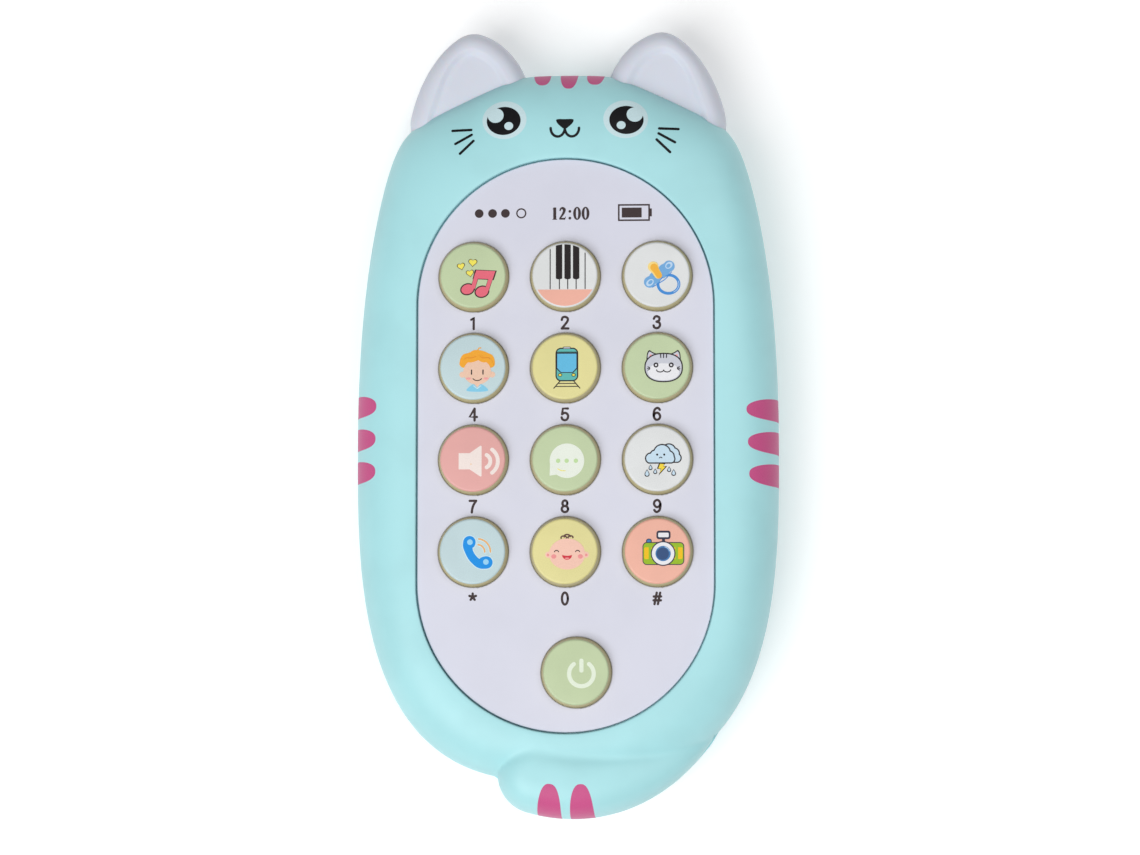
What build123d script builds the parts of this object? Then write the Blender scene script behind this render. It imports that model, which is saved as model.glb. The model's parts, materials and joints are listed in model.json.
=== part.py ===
"""A toy cell phone in the shape of a cat, with twelve picture keys and a power button.

Frame: the phone lies on its back, keys up. +X is to the right, +Y towards the ears, +Z out of
the keypad. The origin is under the middle of its length and width, on the surface it lies on.
All sizes are in millimetres.
"""

import os
from math import cos, dist, pi, radians, sin, sqrt, tan

from build123d import *

# ---- driving dimensions --------------------------------------------------------------------
BODY_MIDDLE_Y = -5.15  # the head end has the ears, so the body's own middle is a little lower
HALF_WIDTH = 42.8
PARTING_Z = 12.0  # where the two shells meet
RIM_Z = 24.2  # the rim round the key plate, the front shell's highest line
WALL = 2.2
BACK_FLAT_SHARE = 0.62  # where the rounded edge of the back has become flat

PLATE_END_RADIUS = 30.0  # the opening is a stadium: two half circles and two straights
PLATE_HALF_STRAIGHT = 27.85
PLATE_GAP = 0.3
PLATE_TOP_Z = 23.4
PLATE_BOTTOM_Z = 21.2
FLANGE_RADIUS = 32.0
FLANGE_BOTTOM_Z = 20.0
FLANGE_TOP_Z = 21.4
LIP_BOTTOM_Z = RIM_Z - WALL

KEY_RADIUS = 6.85
KEY_HOLE_RADIUS = 7.1
KEY_TOP_Z = 25.6
KEY_TRAVEL = 1.2
KEY_PITCH = 18.45
KEY_ROW_ONE_Y = 28.65
KEY_FLANGE_RADIUS = 7.9
KEY_GAP = 0.1
KEY_STEM_RADIUS = 2.6
KEY_STEM_BORE = 1.9
KEY_NAMES = ["1", "2", "3", "4", "5", "6", "7", "8", "9", "star", "0", "hash"]
POWER_XY = (2.2, -50.75)

BOARD_RADIUS = 26.5
BOARD_BOTTOM_Z = 14.6
BOARD_TOP_Z = 16.2
SHEET_TOP_Z = 17.0
DOME_TOP_Z = 18.6

BATTERY_RADIUS = 5.25
BATTERY_LENGTH = 44.5
BATTERY_X = 5.75
BATTERY_Z = 7.7
BAY_HALF_WIDTH = 11.8
BAY_LENGTH = 50.0
BAY_MIDDLE_Y = -22.75
BAY_WALL = 1.0
BAY_ROOF_Z = 13.15
DOOR_THICKNESS = 1.6
DOOR_RECESS = 0.2  # the door lies this far above the resting face
DOOR_GAP = 0.15
DOOR_SCREW_Y = BAY_MIDDLE_Y - BAY_LENGTH / 2 - 5.6
DOOR_BOSS_Z = 2.8  # the door is thicker round its screw
TAB_Z = 11.2  # where the battery contacts come out through the end wall

SPEAKER_XY = (0.0, 28.25)
SPEAKER_RADIUS = 14.0
SPEAKER_LOW_Z = WALL + 0.3
SPEAKER_HIGH_Z = SPEAKER_LOW_Z + 5.2
MAGNET_LOW_Z = SPEAKER_HIGH_Z - 2.6
RETAINER_LOW_Z = SPEAKER_HIGH_Z + 0.1
RETAINER_HIGH_Z = RETAINER_LOW_Z + 1.4
RETAINER_SCREW_X = 18.4

# Each of these places has a mirror twin across the middle of the phone.
SCREW_POSTS = [(20.0, 56.0), (36.0, BODY_MIDDLE_Y), (19.6, -62.35)]
BOARD_POSTS = [(9.25, 19.45), (15.0, -39.75)]
HEAD_HEIGHT_SHARE = 0.45  # of a screw head's radius
HOUSING_SEAT_Z = 5.5  # where the housing screws' heads pull up against the rear shell

EAR_MIDDLE = (21.0, 63.0)
EAR_BOTTOM_Z = 6.0
EAR_TOP_Z = 17.4


# ---- outlines, as a radius at each angle round a middle --------------------------------------
def body_radius(angle):
    """Superellipse sides and chin, cut softly by the shoulders and the flat top of the head."""
    across, up = abs(cos(angle)), sin(angle)
    height, power = (96.1, 2.285) if up > 0 else (67.55, 2.89)
    sides = ((across / HALF_WIDTH) ** power + (abs(up) / height) ** power) ** (1 / power)
    lean = radians(65.15)
    shoulder = max(across * cos(lean) + up * sin(lean), 0) / 73.55
    soft, crisp = 30.7, 90
    rounded = (sides**soft + shoulder**soft) ** (1 / soft)
    crown = max(up, 0) / 76.35
    return (rounded**crisp + crown**crisp) ** (-1 / crisp)


def tail_radius(angle):
    """The far edge of a row of circles that shrink along a bent line from the tail's tip."""
    steps = 60
    far = 0.0
    for k in range(steps + 1):
        s = k / steps
        x = (1 - s) ** 2 * -6.1 + 2 * s * (1 - s) * 10.0 + s * s * 28.9
        y = (1 - s) ** 2 * -71.1 + 2 * s * (1 - s) * -75.6 + s * s * -63.65
        reach = 8.0 - 7.5 * s**2.61
        y -= BODY_MIDDLE_Y
        along = x * cos(angle) + y * sin(angle)
        under = reach**2 - x * x - y * y + along**2
        if under > 0 and along > 0:
            far = max(far, along + sqrt(under))
    return far


def outline_radius(angle):
    """The body and the tail together, with the corner between them a little softened."""
    soft = 90
    body, tail = body_radius(angle), tail_radius(angle)
    return (body**soft + tail**soft) ** (1 / soft)


def opening_radius(angle):
    """The plate's opening: half circles at the ends of two straight sides."""
    across, up = abs(cos(angle)), abs(sin(angle))
    straight = PLATE_END_RADIUS / across if across > 1e-9 else 1e9
    if straight * up <= PLATE_HALF_STRAIGHT:
        return straight
    drop = PLATE_HALF_STRAIGHT * up
    return drop + sqrt(drop**2 - PLATE_HALF_STRAIGHT**2 + PLATE_END_RADIUS**2)


def shell_angles():
    """Angles round the body, closer together where it turns most: the crown and the tail's tip."""
    right, crown, left = range(-60, 76, 4), range(76, 108, 2), range(108, 242, 4)
    before, tip, tail = range(242, 255, 2), range(255, 269), range(270, 299, 2)
    return [radians(a) for a in [*right, *crown, *left, *before, *tip, *tail]]


def ring(share, z, inset=0.0):
    """A flat face at height z, that share of the way from the outline to the opening."""
    points = []
    for angle in shell_angles():
        r = outline_radius(angle) * (1 - share) + opening_radius(angle) * share - inset
        points.append((r * cos(angle), BODY_MIDDLE_Y + r * sin(angle), z))
    return make_face(Spline(*points, periodic=True))


def dome_levels(height, full_share, power):
    """Pairs of share and height up a rounded edge, a quarter of a superellipse."""
    levels = [(0, 0)]
    for turn in (20, 42, 60, 76):
        c, s = cos(radians(turn)), sin(radians(turn))
        levels.append((full_share * (1 - c ** (2 / power)), height * s ** (2 / power)))
    return levels + [(full_share, height)]


def dome(height, full_share, power, side, inset=0.0):
    """A solid from the parting plane up (side 1) or down (side -1), closed by a flat face."""
    rings = []
    for share, rise in dome_levels(height - inset, full_share, power):
        rings.append(ring(share, PARTING_Z + side * rise, inset))
    return loft(rings)


def stadium(radius, low, high):
    """An upright block with the key plate's outline, moved out or in to that end radius."""
    flat = Rectangle(2 * radius, 2 * PLATE_HALF_STRAIGHT)
    for end in (-1, 1):
        flat += Pos(0, end * PLATE_HALF_STRAIGHT) * Circle(radius)
    return Pos(0, BODY_MIDDLE_Y, low) * extrude(flat, high - low)


def post(x, y, radius, low, high):
    return Pos(x, y, low) * extrude(Circle(radius), high - low)


def block(x, y, low, high, width, length, corner=0.0):
    flat = RectangleRounded(width, length, corner) if corner else Rectangle(width, length)
    return Pos(x, y, low) * extrude(flat, high - low)


def twins(places):
    """Each place and its mirror image across the middle of the phone."""
    return [(side * x, y) for x, y in places for side in (-1, 1)]


def turned(profile, x, y):
    """A round solid from (radius, height) points, about an upright axis at x, y."""
    outline = make_face(Polyline(*[(r, 0, z) for r, z in profile], close=True))
    return Pos(x, y, 0) * revolve(outline, Axis.Z)


# ---- ears ------------------------------------------------------------------------------------
def ear_radius(angle):
    """A rounded triangle: three soft sides that bulge, and a straight-cut root."""
    facing = [(10.9, 11.02), (174.0, 14.0), (83.6, 17.45), (270.0, 9.3)]
    power = 2.1
    total = sum(max(cos(angle - radians(a)), 0) ** power / d**power for a, d in facing)
    return total ** (-1 / power)


def ear_face(scale, grow=0.0):
    points = []
    for k in range(36):
        angle = k * 2 * pi / 36
        r = ear_radius(angle) * scale + grow
        points.append((EAR_MIDDLE[0] + r * cos(angle), EAR_MIDDLE[1] + r * sin(angle), 0))
    return make_face(Spline(*points, periodic=True))


def ear_block(grow=0.0):
    """The right ear as a thick pad with rounded edges; grow makes the cutter for its socket."""
    pad = Pos(0, 0, EAR_BOTTOM_Z - grow) * extrude(
        ear_face(1.0, grow), EAR_TOP_Z - EAR_BOTTOM_Z + 2 * grow
    )
    return fillet(pad.edges().filter_by(GeomType.BSPLINE), 4.2)


def ear():
    """The pad, with its shallow inner hollow and the eye that the screw post passes through."""
    hollow_depth = 1.0
    pad = ear_block()
    pad -= Pos(0, 0, EAR_TOP_Z - hollow_depth) * extrude(ear_face(0.74), hollow_depth)
    x, y = SCREW_POSTS[0]
    pad += block(x, y - 0.5, EAR_BOTTOM_Z + 2.5, EAR_TOP_Z - 2.5, 11, 12, 2)
    return pad - post(x, y, 3.1, 0, RIM_Z)


# ---- shells ----------------------------------------------------------------------------------
FRONT_POWER = 2.4
BACK_POWER = 2.6


def front_shell(socket):
    shell = dome(RIM_Z - PARTING_Z, 1.04, FRONT_POWER, 1)
    shell -= dome(RIM_Z - PARTING_Z, 1.04, FRONT_POWER, 1, WALL)
    shell -= stadium(PLATE_END_RADIUS, LIP_BOTTOM_Z - 1, RIM_Z + 1)
    shell -= socket + mirror(socket, Plane.YZ)
    for x, y in twins(SCREW_POSTS):
        shell += post(x, y, 2.8, PARTING_Z, LIP_BOTTOM_Z - 0.4)
        shell -= post(x, y, 1.1, PARTING_Z, LIP_BOTTOM_Z - 2)
    return shell


def grille_places():
    """Speaker holes on rings about the speaker's middle, as (x, y)."""
    places = [SPEAKER_XY]
    for n in range(1, 4):
        count, spread = 6 * n, 3.3 * n
        for k in range(count):
            angle = k * 2 * pi / count
            places.append(
                (SPEAKER_XY[0] + spread * cos(angle), SPEAKER_XY[1] + spread * sin(angle))
            )
    return places


def door_outline(gap):
    """The battery door seen from behind: a rounded oblong with a lobe for its screw."""
    length, width = BAY_LENGTH + 3.2, 2 * BAY_HALF_WIDTH + 3.2
    flat = Pos(0, BAY_MIDDLE_Y) * RectangleRounded(width + 2 * gap, length + 2 * gap, 3)
    lobe = Pos(0, DOOR_SCREW_Y) * Circle(4.6 + gap)
    neck = Pos(0, DOOR_SCREW_Y + 3) * Rectangle(9.2 + 2 * gap, 6)
    return flat + lobe + neck


def rear_shell(socket):
    shell = dome(PARTING_Z, BACK_FLAT_SHARE, BACK_POWER, -1)
    shell -= dome(PARTING_Z, BACK_FLAT_SHARE, BACK_POWER, -1, WALL)
    shell -= socket + mirror(socket, Plane.YZ)

    bay = (2 * BAY_HALF_WIDTH, BAY_LENGTH)
    outside = (bay[0] + 2 * BAY_WALL, bay[1] + 2 * BAY_WALL)
    shell += block(0, BAY_MIDDLE_Y, 0.8, BAY_ROOF_Z + BAY_WALL, *outside)
    shell += post(0, DOOR_SCREW_Y, 5.0, 0.8, 10)
    for x, y in twins(SCREW_POSTS):
        shell += post(x, y, 3.8, 1, EAR_BOTTOM_Z - 0.2)
        shell += post(x, y, 2.8, 1, PARTING_Z)
    for x, y in clamp_places():
        shell += post(x, y, 1.9, 1, FLANGE_BOTTOM_Z)
    x, y = SPEAKER_XY
    shell += post(x, y, SPEAKER_RADIUS + 1.6, 1, 6.2) - post(x, y, SPEAKER_RADIUS + 0.2, 1, 7)
    for side in (-1, 1):
        shell += post(side * RETAINER_SCREW_X, y, 2.6, 1, RETAINER_LOW_Z - 0.1)

    shell -= block(0, BAY_MIDDLE_Y, -1, BAY_ROOF_Z, *bay)
    shell -= extrude(door_outline(DOOR_GAP), DOOR_RECESS + DOOR_THICKNESS + 0.1)
    shell -= post(0, DOOR_SCREW_Y, 3.7, 0, DOOR_BOSS_Z + 0.1)
    shell -= post(0, DOOR_SCREW_Y, 1.2, 0, 9)
    for x, y in twins(SCREW_POSTS):
        shell -= post(x, y, 2.9, -1, HOUSING_SEAT_Z) + post(x, y, 1.6, 0, PARTING_Z + 1)
    for x, y in grille_places():
        shell -= post(x, y, 0.8, -1, WALL + 1)
    for side in (-1, 1):
        shell -= post(side * RETAINER_SCREW_X, SPEAKER_XY[1], 0.9, 3, 8)
        wall_y = BAY_MIDDLE_Y + BAY_LENGTH / 2 + BAY_WALL / 2
        shell -= block(side * BATTERY_X, wall_y, TAB_Z - 0.5, TAB_Z + 0.5, 3.4, 2 * BAY_WALL)
    return shell


def clamp_places():
    """Posts of the rear shell that press the plate's flange up against the front shell."""
    places, reach = [], PLATE_END_RADIUS + 0.1
    lean = radians(20)
    for side in (-1, 1):
        places += [(side * reach, BODY_MIDDLE_Y + 18), (side * reach, BODY_MIDDLE_Y - 18)]
        for end in (-1, 1):
            up = PLATE_HALF_STRAIGHT + reach * cos(lean)
            places.append((side * reach * sin(lean), BODY_MIDDLE_Y + end * up))
    return places


# ---- plate and keys --------------------------------------------------------------------------
def key_places():
    """Name to middle, for the twelve keys in rows of three and the power button."""
    places = {}
    for n, name in enumerate(KEY_NAMES):
        column, row = n % 3 - 1, n // 3
        places["key_" + name] = (column * KEY_PITCH, KEY_ROW_ONE_Y - row * KEY_PITCH)
    places["power_button"] = POWER_XY
    return places


def key_plate():
    plate = stadium(PLATE_END_RADIUS - PLATE_GAP, PLATE_BOTTOM_Z, PLATE_TOP_Z)
    for x, y in key_places().values():
        plate -= post(x, y, KEY_HOLE_RADIUS, PLATE_BOTTOM_Z - 1, PLATE_TOP_Z + 1)
    plate = fillet(plate.faces().sort_by(Axis.Z)[-1].edges(), 0.25)
    flange = stadium(FLANGE_RADIUS, FLANGE_BOTTOM_Z, FLANGE_TOP_Z)
    plate += flange - stadium(PLATE_END_RADIUS - 2.6, FLANGE_BOTTOM_Z, FLANGE_TOP_Z)
    for x, y in twins(BOARD_POSTS):
        plate += post(x, y, 2.3, BOARD_TOP_Z, PLATE_BOTTOM_Z)
        plate -= post(x, y, 0.9, BOARD_TOP_Z, PLATE_BOTTOM_Z)
    return plate


def key_cap(x, y):
    """A cap with a bevelled rim, a flange that stops it under the plate, and a stem."""
    flange_top = PLATE_BOTTOM_Z - KEY_GAP
    flange_bottom = flange_top - 1.1
    profile = [
        (0, flange_bottom),
        (KEY_STEM_BORE, flange_bottom),
        (KEY_STEM_BORE, DOME_TOP_Z + KEY_GAP),
        (KEY_STEM_RADIUS, DOME_TOP_Z + KEY_GAP),
        (KEY_STEM_RADIUS, flange_bottom),
        (KEY_FLANGE_RADIUS, flange_bottom),
        (KEY_FLANGE_RADIUS, flange_top),
        (KEY_RADIUS, flange_top),
        (KEY_RADIUS, KEY_TOP_Z - 0.5),
        (KEY_RADIUS - 0.18, KEY_TOP_Z - 0.14),
        (KEY_RADIUS - 0.6, KEY_TOP_Z),
        (0, KEY_TOP_Z),
    ]
    return turned(profile, x, y)


# ---- what is under the keys --------------------------------------------------------------------
def rubber_keypad():
    """One silicone sheet with a hollow dome under each key."""
    sheet = stadium(BOARD_RADIUS, BOARD_TOP_Z, SHEET_TOP_Z)
    for x, y in key_places().values():
        sheet += turned(
            [(0, SHEET_TOP_Z), (4.2, SHEET_TOP_Z), (3.0, DOME_TOP_Z), (0, DOME_TOP_Z)], x, y
        )
        sheet -= turned(
            [(0, BOARD_TOP_Z), (3.5, BOARD_TOP_Z), (2.6, DOME_TOP_Z - 0.7), (0, DOME_TOP_Z - 0.7)],
            x,
            y,
        )
    for x, y in twins(BOARD_POSTS):
        sheet -= post(x, y, 2.5, BOARD_TOP_Z, SHEET_TOP_Z)
    return sheet


def carbon_pills():
    """The conducting discs under the domes, one for each key."""
    low = DOME_TOP_Z - 1.1
    return [post(x, y, 1.6, low, DOME_TOP_Z - 0.7) for x, y in key_places().values()]


def circuit_board():
    board = stadium(BOARD_RADIUS, BOARD_BOTTOM_Z, BOARD_TOP_Z)
    for x, y in twins(BOARD_POSTS):
        board -= post(x, y, 1.15, BOARD_BOTTOM_Z, BOARD_TOP_Z)
    return board


CHIP_XY = (0.0, 11.25)


def sound_chip():
    """The blob of black resin over the bare chip."""
    x, y = CHIP_XY
    z = BOARD_BOTTOM_Z
    return turned([(0, z), (5, z), (4.7, z - 0.7), (3.2, z - 1.3), (0, z - 1.5)], x, y)


def board_components():
    """Small resistors and capacitors beside the chip, and one upright capacitor."""
    pieces = []
    for side in (-1, 1):
        for n in range(3):
            y = CHIP_XY[1] + 0.8 + n * 2.2
            pieces.append(block(side * 9.5, y, BOARD_BOTTOM_Z - 0.8, BOARD_BOTTOM_Z, 2.0, 1.25))
    pieces.append(post(-19.5, CHIP_XY[1] - 1, 2.5, BOARD_BOTTOM_Z - 6, BOARD_BOTTOM_Z))
    return pieces


# ---- speaker -----------------------------------------------------------------------------------
def speaker_frame():
    """A pressed cup that faces the holes in the back, with a strip for its two leads."""
    low, r = SPEAKER_LOW_Z, SPEAKER_RADIUS
    cup = turned(
        [
            (0, MAGNET_LOW_Z - 0.6),
            (7.4, MAGNET_LOW_Z - 0.6),
            (r - 2.6, low + 0.6),
            (r - 2.2, low),
            (r, low),
            (r, low + 1),
            (r - 2, low + 1),
            (8, MAGNET_LOW_Z),
            (0, MAGNET_LOW_Z),
        ],
        *SPEAKER_XY,
    )
    x, y = SPEAKER_XY
    return cup + block(x, y - r + 2.2, low + 0.8, low + 2.7, 13, 2.2)


def speaker_cone():
    """The film cone, hung by its rolled edge from the front of the frame."""
    low, r = SPEAKER_LOW_Z, SPEAKER_RADIUS - 2.7
    under = [(0, 0.25), (4.2, 0.55), (5, 1.1), (8.3, 0.25), (r, 0.15)]
    over = [(r, 0.35), (8.4, 0.45), (5, 1.4), (4, 0.75), (0, 0.45)]
    return turned([(x, low + z) for x, z in under + over], *SPEAKER_XY)


def speaker_magnet():
    return post(*SPEAKER_XY, 6.3, MAGNET_LOW_Z, SPEAKER_HIGH_Z)


def speaker_retainer():
    """A bar across the back of the speaker, held down by a screw at each end."""
    bar = block(*SPEAKER_XY, RETAINER_LOW_Z, RETAINER_HIGH_Z, 42.0, 5.2, 2.5)
    for side in (-1, 1):
        bar -= post(side * RETAINER_SCREW_X, SPEAKER_XY[1], 1.15, RETAINER_LOW_Z, RETAINER_HIGH_Z)
    return bar


# ---- batteries ---------------------------------------------------------------------------------
def battery(x, end):
    """An AAA cell lying along Y, with its raised terminal towards the ears if end is 1."""
    cell = Cylinder(BATTERY_RADIUS, BATTERY_LENGTH - 1.0)
    cell = fillet(cell.edges(), 0.5)
    cell += Pos(0, 0, (BATTERY_LENGTH - 1) / 2 + 0.5) * Cylinder(1.9, 1.0)
    lean = -90 if end == 1 else 90
    middle = BAY_MIDDLE_Y - end * 0.5
    return Pos(x, middle, BATTERY_Z) * Rot(lean, 0, 0) * cell


def contact_spring(x, wall_y, side):
    """The coil that pushes on a cell's flat end, standing off the wall along side * Y."""
    free = (BAY_LENGTH - BATTERY_LENGTH) / 2 - 0.8
    coil = Helix(pitch=free / 2.5, height=free - 0.5, radius=3.2, cone_angle=-12)
    section = Plane(coil @ 0, z_dir=coil % 0) * Circle(0.22)
    wire = sweep(section, path=coil)
    lean = -90 if side == 1 else 90
    return Pos(x, wall_y + side * 0.55, BATTERY_Z) * Rot(lean, 0, 0) * wire


def contact_plate(x, width, wall_y, side, tab=True):
    """A springy nickel plate against the end wall of the bay, with a solder tab through it."""
    plate = block(x, wall_y + side * 0.2, 3.2, 12.2, width, 0.35)
    if tab:
        plate += block(x, wall_y - side * 1.1, TAB_Z - 0.15, TAB_Z + 0.15, 2.4, 2.9)
    return plate


def contact_button(x, wall_y, side):
    """The pressed bump that meets a cell's raised end."""
    free = (BAY_LENGTH - BATTERY_LENGTH) / 2 - 0.4
    bump = Cone(3.0, 1.6, free)
    lean = -90 if side == 1 else 90
    return Pos(x, wall_y + side * (0.35 + free / 2), BATTERY_Z) * Rot(lean, 0, 0) * bump


def battery_door():
    """A flush plate with a rib that locates it in the bay, and a sunk hole for its screw."""
    low, high = DOOR_RECESS, DOOR_RECESS + DOOR_THICKNESS
    door = Pos(0, 0, low) * extrude(door_outline(0), DOOR_THICKNESS)
    rib = block(
        0, BAY_MIDDLE_Y, high, high + 0.55, 2 * BAY_HALF_WIDTH - 0.6, BAY_LENGTH - 0.6, 1
    ) - block(0, BAY_MIDDLE_Y, high, high + 1, 2 * BAY_HALF_WIDTH - 3, BAY_LENGTH - 3, 1)
    door += rib + post(0, DOOR_SCREW_Y, 3.4, high, DOOR_BOSS_Z)
    for k in range(5):  # finger ridges across the far end
        door += block(0, BAY_MIDDLE_Y + 17 + 1.7 * k, low - 0.15, low, 12 - k, 0.7)
    return door - post(0, DOOR_SCREW_Y, 1.45, 0, 3) - post(0, DOOR_SCREW_Y, 2.6, 0, 1.45)


# ---- screws and leads --------------------------------------------------------------------------
def screw(x, y, head_low, length, shank, head, up=1):
    """A pan-head screw with a cross recess. It points up from its head, or down if up is -1."""
    tall = HEAD_HEIGHT_SHARE * head
    body = post(0, 0, head, 0, tall) + post(0, 0, shank, 0, length)
    body = fillet(body.edges().group_by(Axis.Z)[0], 0.25 * head)
    for turn in (0, 90):
        body -= Rot(0, 0, turn) * block(0, 0, 0, 0.55 * tall, 1.1 * head, 0.28 * head)
    flip = Rot(180, 0, 0) if up == -1 else Rot(0, 0, 0)
    return Pos(x, y, head_low) * flip * body


def housing_screws():
    head = 2.5
    low = HOUSING_SEAT_Z - HEAD_HEIGHT_SHARE * head - 0.05
    return [screw(x, y, low, 15.0, 1.05, head) for x, y in twins(SCREW_POSTS)]


def board_screws():
    head = 1.5
    low = BOARD_BOTTOM_Z - HEAD_HEIGHT_SHARE * head
    return [screw(x, y, low, 5.2, 0.85, head) for x, y in twins(BOARD_POSTS)]


def speaker_screws():
    head = 1.5
    high = RETAINER_HIGH_Z + HEAD_HEIGHT_SHARE * head
    places = [(side * RETAINER_SCREW_X, SPEAKER_XY[1]) for side in (-1, 1)]
    return [screw(x, y, high, 5.0, 0.85, head, -1) for x, y in places]


LEAD_RADIUS = 0.5


def lead(*points):
    """An insulated wire along straight runs and arcs as large as its runs allow."""
    runs = [dist(a, b) for a, b in zip(points, points[1:])]
    radii = []
    for n in range(1, len(points) - 1):
        before = Vector(*points[n]) - Vector(*points[n - 1])
        after = Vector(*points[n + 1]) - Vector(*points[n])
        turn = radians(before.get_angle(after))
        radii.append(0.45 * min(runs[n - 1], runs[n]) / tan(turn / 2))
    path = FilletPolyline(*points, radius=radii)
    return sweep(Plane(path @ 0, z_dir=path % 0) * Circle(LEAD_RADIUS), path=path)


def leads():
    """The speaker's and the battery's pairs, from their tabs to the underside of the board."""
    strip_y = SPEAKER_XY[1] - SPEAKER_RADIUS + 2.2
    strip_z = SPEAKER_LOW_Z + 2.7
    tab_y = BAY_MIDDLE_Y + BAY_LENGTH / 2 + 2.6
    made = {}
    for side, colour in ((-1, "red"), (1, "black")):
        made["speaker_lead_" + colour] = lead(
            (side * 5, strip_y, strip_z),
            (side * 5, strip_y, strip_z + 3.5),
            (side * 9, strip_y - 1.5, strip_z + 5.5),
            (side * 13.5, strip_y - 2, strip_z + 6.5),
            (side * 13.5, strip_y - 2, BOARD_BOTTOM_Z),
        )
        made["battery_lead_" + colour] = lead(
            (side * BATTERY_X, tab_y, TAB_Z),
            (side * BATTERY_X, tab_y + 2.0, TAB_Z - 0.6),
            (side * (BATTERY_X + 2.6), tab_y + 3.2, TAB_Z + 0.2),
            (side * (BATTERY_X + 3.4), tab_y + 3.2, TAB_Z + 1.4),
            (side * (BATTERY_X + 3.4), tab_y + 3.2, BOARD_BOTTOM_Z),
        )
    return made


# ---- the whole phone -----------------------------------------------------------------------------
def build():
    socket = ear_block(0.1)
    right_ear = ear()
    low_wall = BAY_MIDDLE_Y - BAY_LENGTH / 2
    high_wall = BAY_MIDDLE_Y + BAY_LENGTH / 2
    parts = {
        "front_shell": front_shell(socket),
        "rear_shell": rear_shell(socket),
        "ear_right": right_ear,
        "ear_left": mirror(right_ear, Plane.YZ),
        "key_plate": key_plate(),
        "rubber_keypad": rubber_keypad(),
        "carbon_pills": Compound(children=carbon_pills()),
        "circuit_board": circuit_board(),
        "sound_chip": sound_chip(),
        "board_components": Compound(children=board_components()),
        "speaker_frame": speaker_frame(),
        "speaker_cone": speaker_cone(),
        "speaker_magnet": speaker_magnet(),
        "speaker_retainer": speaker_retainer(),
        "speaker_screws": Compound(children=speaker_screws()),
        "battery_left": battery(-BATTERY_X, 1),
        "battery_right": battery(BATTERY_X, -1),
        "contact_bridge": contact_plate(0, 20, low_wall, 1, tab=False)
        + contact_button(BATTERY_X, low_wall, 1),
        "contact_positive": contact_plate(-BATTERY_X, 8, high_wall, -1)
        + contact_button(-BATTERY_X, high_wall, -1),
        "contact_negative": contact_plate(BATTERY_X, 8, high_wall, -1),
        "contact_springs": Compound(
            children=[
                contact_spring(-BATTERY_X, low_wall, 1),
                contact_spring(BATTERY_X, high_wall, -1),
            ]
        ),
        "battery_door": battery_door(),
        "door_screw": screw(0, DOOR_SCREW_Y, 0.35, 8.0, 1.15, 2.3),
        "housing_screws": Compound(children=housing_screws()),
        "board_screws": Compound(children=board_screws()),
    }
    parts.update(leads())
    for name, (x, y) in key_places().items():
        parts[name] = key_cap(x, y)
    return parts


def main():
    os.makedirs("parts", exist_ok=True)
    for name, shape in build().items():
        export_step(shape, f"parts/{name}.step")
        print(name, round(shape.volume, 1), "mm3")


if __name__ == "__main__":
    main()
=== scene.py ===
# %% [markdown]
# # A toy cat phone
# The phone lies on its back with its keys up: X runs across it, Y along it towards the ears, and Z
# out of the keys. Its solid parts come from CAD as a fixed frame. This lesson gives them their
# finishes, and makes afresh the parts whose shape or print matters most to the eye: the shells,
# the ears, the key caps and every picture printed on them.

# %% Load the frame
import json
import math

import bmesh
import bpy
import numpy as np
from mathutils import Euler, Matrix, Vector


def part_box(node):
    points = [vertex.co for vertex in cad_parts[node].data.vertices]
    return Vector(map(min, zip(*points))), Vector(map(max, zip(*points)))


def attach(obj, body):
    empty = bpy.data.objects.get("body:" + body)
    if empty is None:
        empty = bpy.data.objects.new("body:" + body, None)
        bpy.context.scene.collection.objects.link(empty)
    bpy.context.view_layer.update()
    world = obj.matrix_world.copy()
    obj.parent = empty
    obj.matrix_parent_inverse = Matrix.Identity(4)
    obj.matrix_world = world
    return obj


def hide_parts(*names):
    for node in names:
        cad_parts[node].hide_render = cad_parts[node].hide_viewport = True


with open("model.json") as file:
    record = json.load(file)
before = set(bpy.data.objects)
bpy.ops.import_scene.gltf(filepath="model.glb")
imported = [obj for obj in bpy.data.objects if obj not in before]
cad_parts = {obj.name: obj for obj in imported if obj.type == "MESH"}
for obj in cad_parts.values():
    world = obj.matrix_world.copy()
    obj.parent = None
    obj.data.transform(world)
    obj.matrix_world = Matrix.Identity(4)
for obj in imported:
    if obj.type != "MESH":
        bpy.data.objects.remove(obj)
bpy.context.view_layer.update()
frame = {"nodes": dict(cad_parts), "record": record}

# %% [markdown]
# ## Numbers into meshes
# A moulded part is a smooth skin, so each one here is a grid of points worked out from a formula.
# One helper joins neighbouring points of a grid with quads. Another puts any number of such grids
# into one mesh, closes its seams, points its faces outwards and marks only true corners as sharp.
# Working in millimetres keeps the formulas readable: the mesh is scaled to metres at the end.

# %% Grids and meshes
MM = 0.001
TAU = 2 * math.pi


def grid_quads(rows, columns, wrap_rows=False, wrap_columns=False):
    """Quads between neighbours of a grid; a wrapped direction joins its last line to its first."""
    r = np.arange(rows if wrap_rows else rows - 1)[:, None]
    c = np.arange(columns if wrap_columns else columns - 1)[None, :]
    r2, c2 = (r + 1) % rows, (c + 1) % columns
    quads = [r * columns + c, r * columns + c2, r2 * columns + c2, r2 * columns + c]
    return np.stack(quads, -1).reshape(-1, 4)


def skin(points, wrap_rows=False, wrap_columns=False, tone=0):
    """A grid of points, its quads and the number of the material it takes."""
    rows, columns = points.shape[:2]
    quads = grid_quads(rows, columns, wrap_rows, wrap_columns)
    return points.reshape(-1, 3), quads, tone


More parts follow.
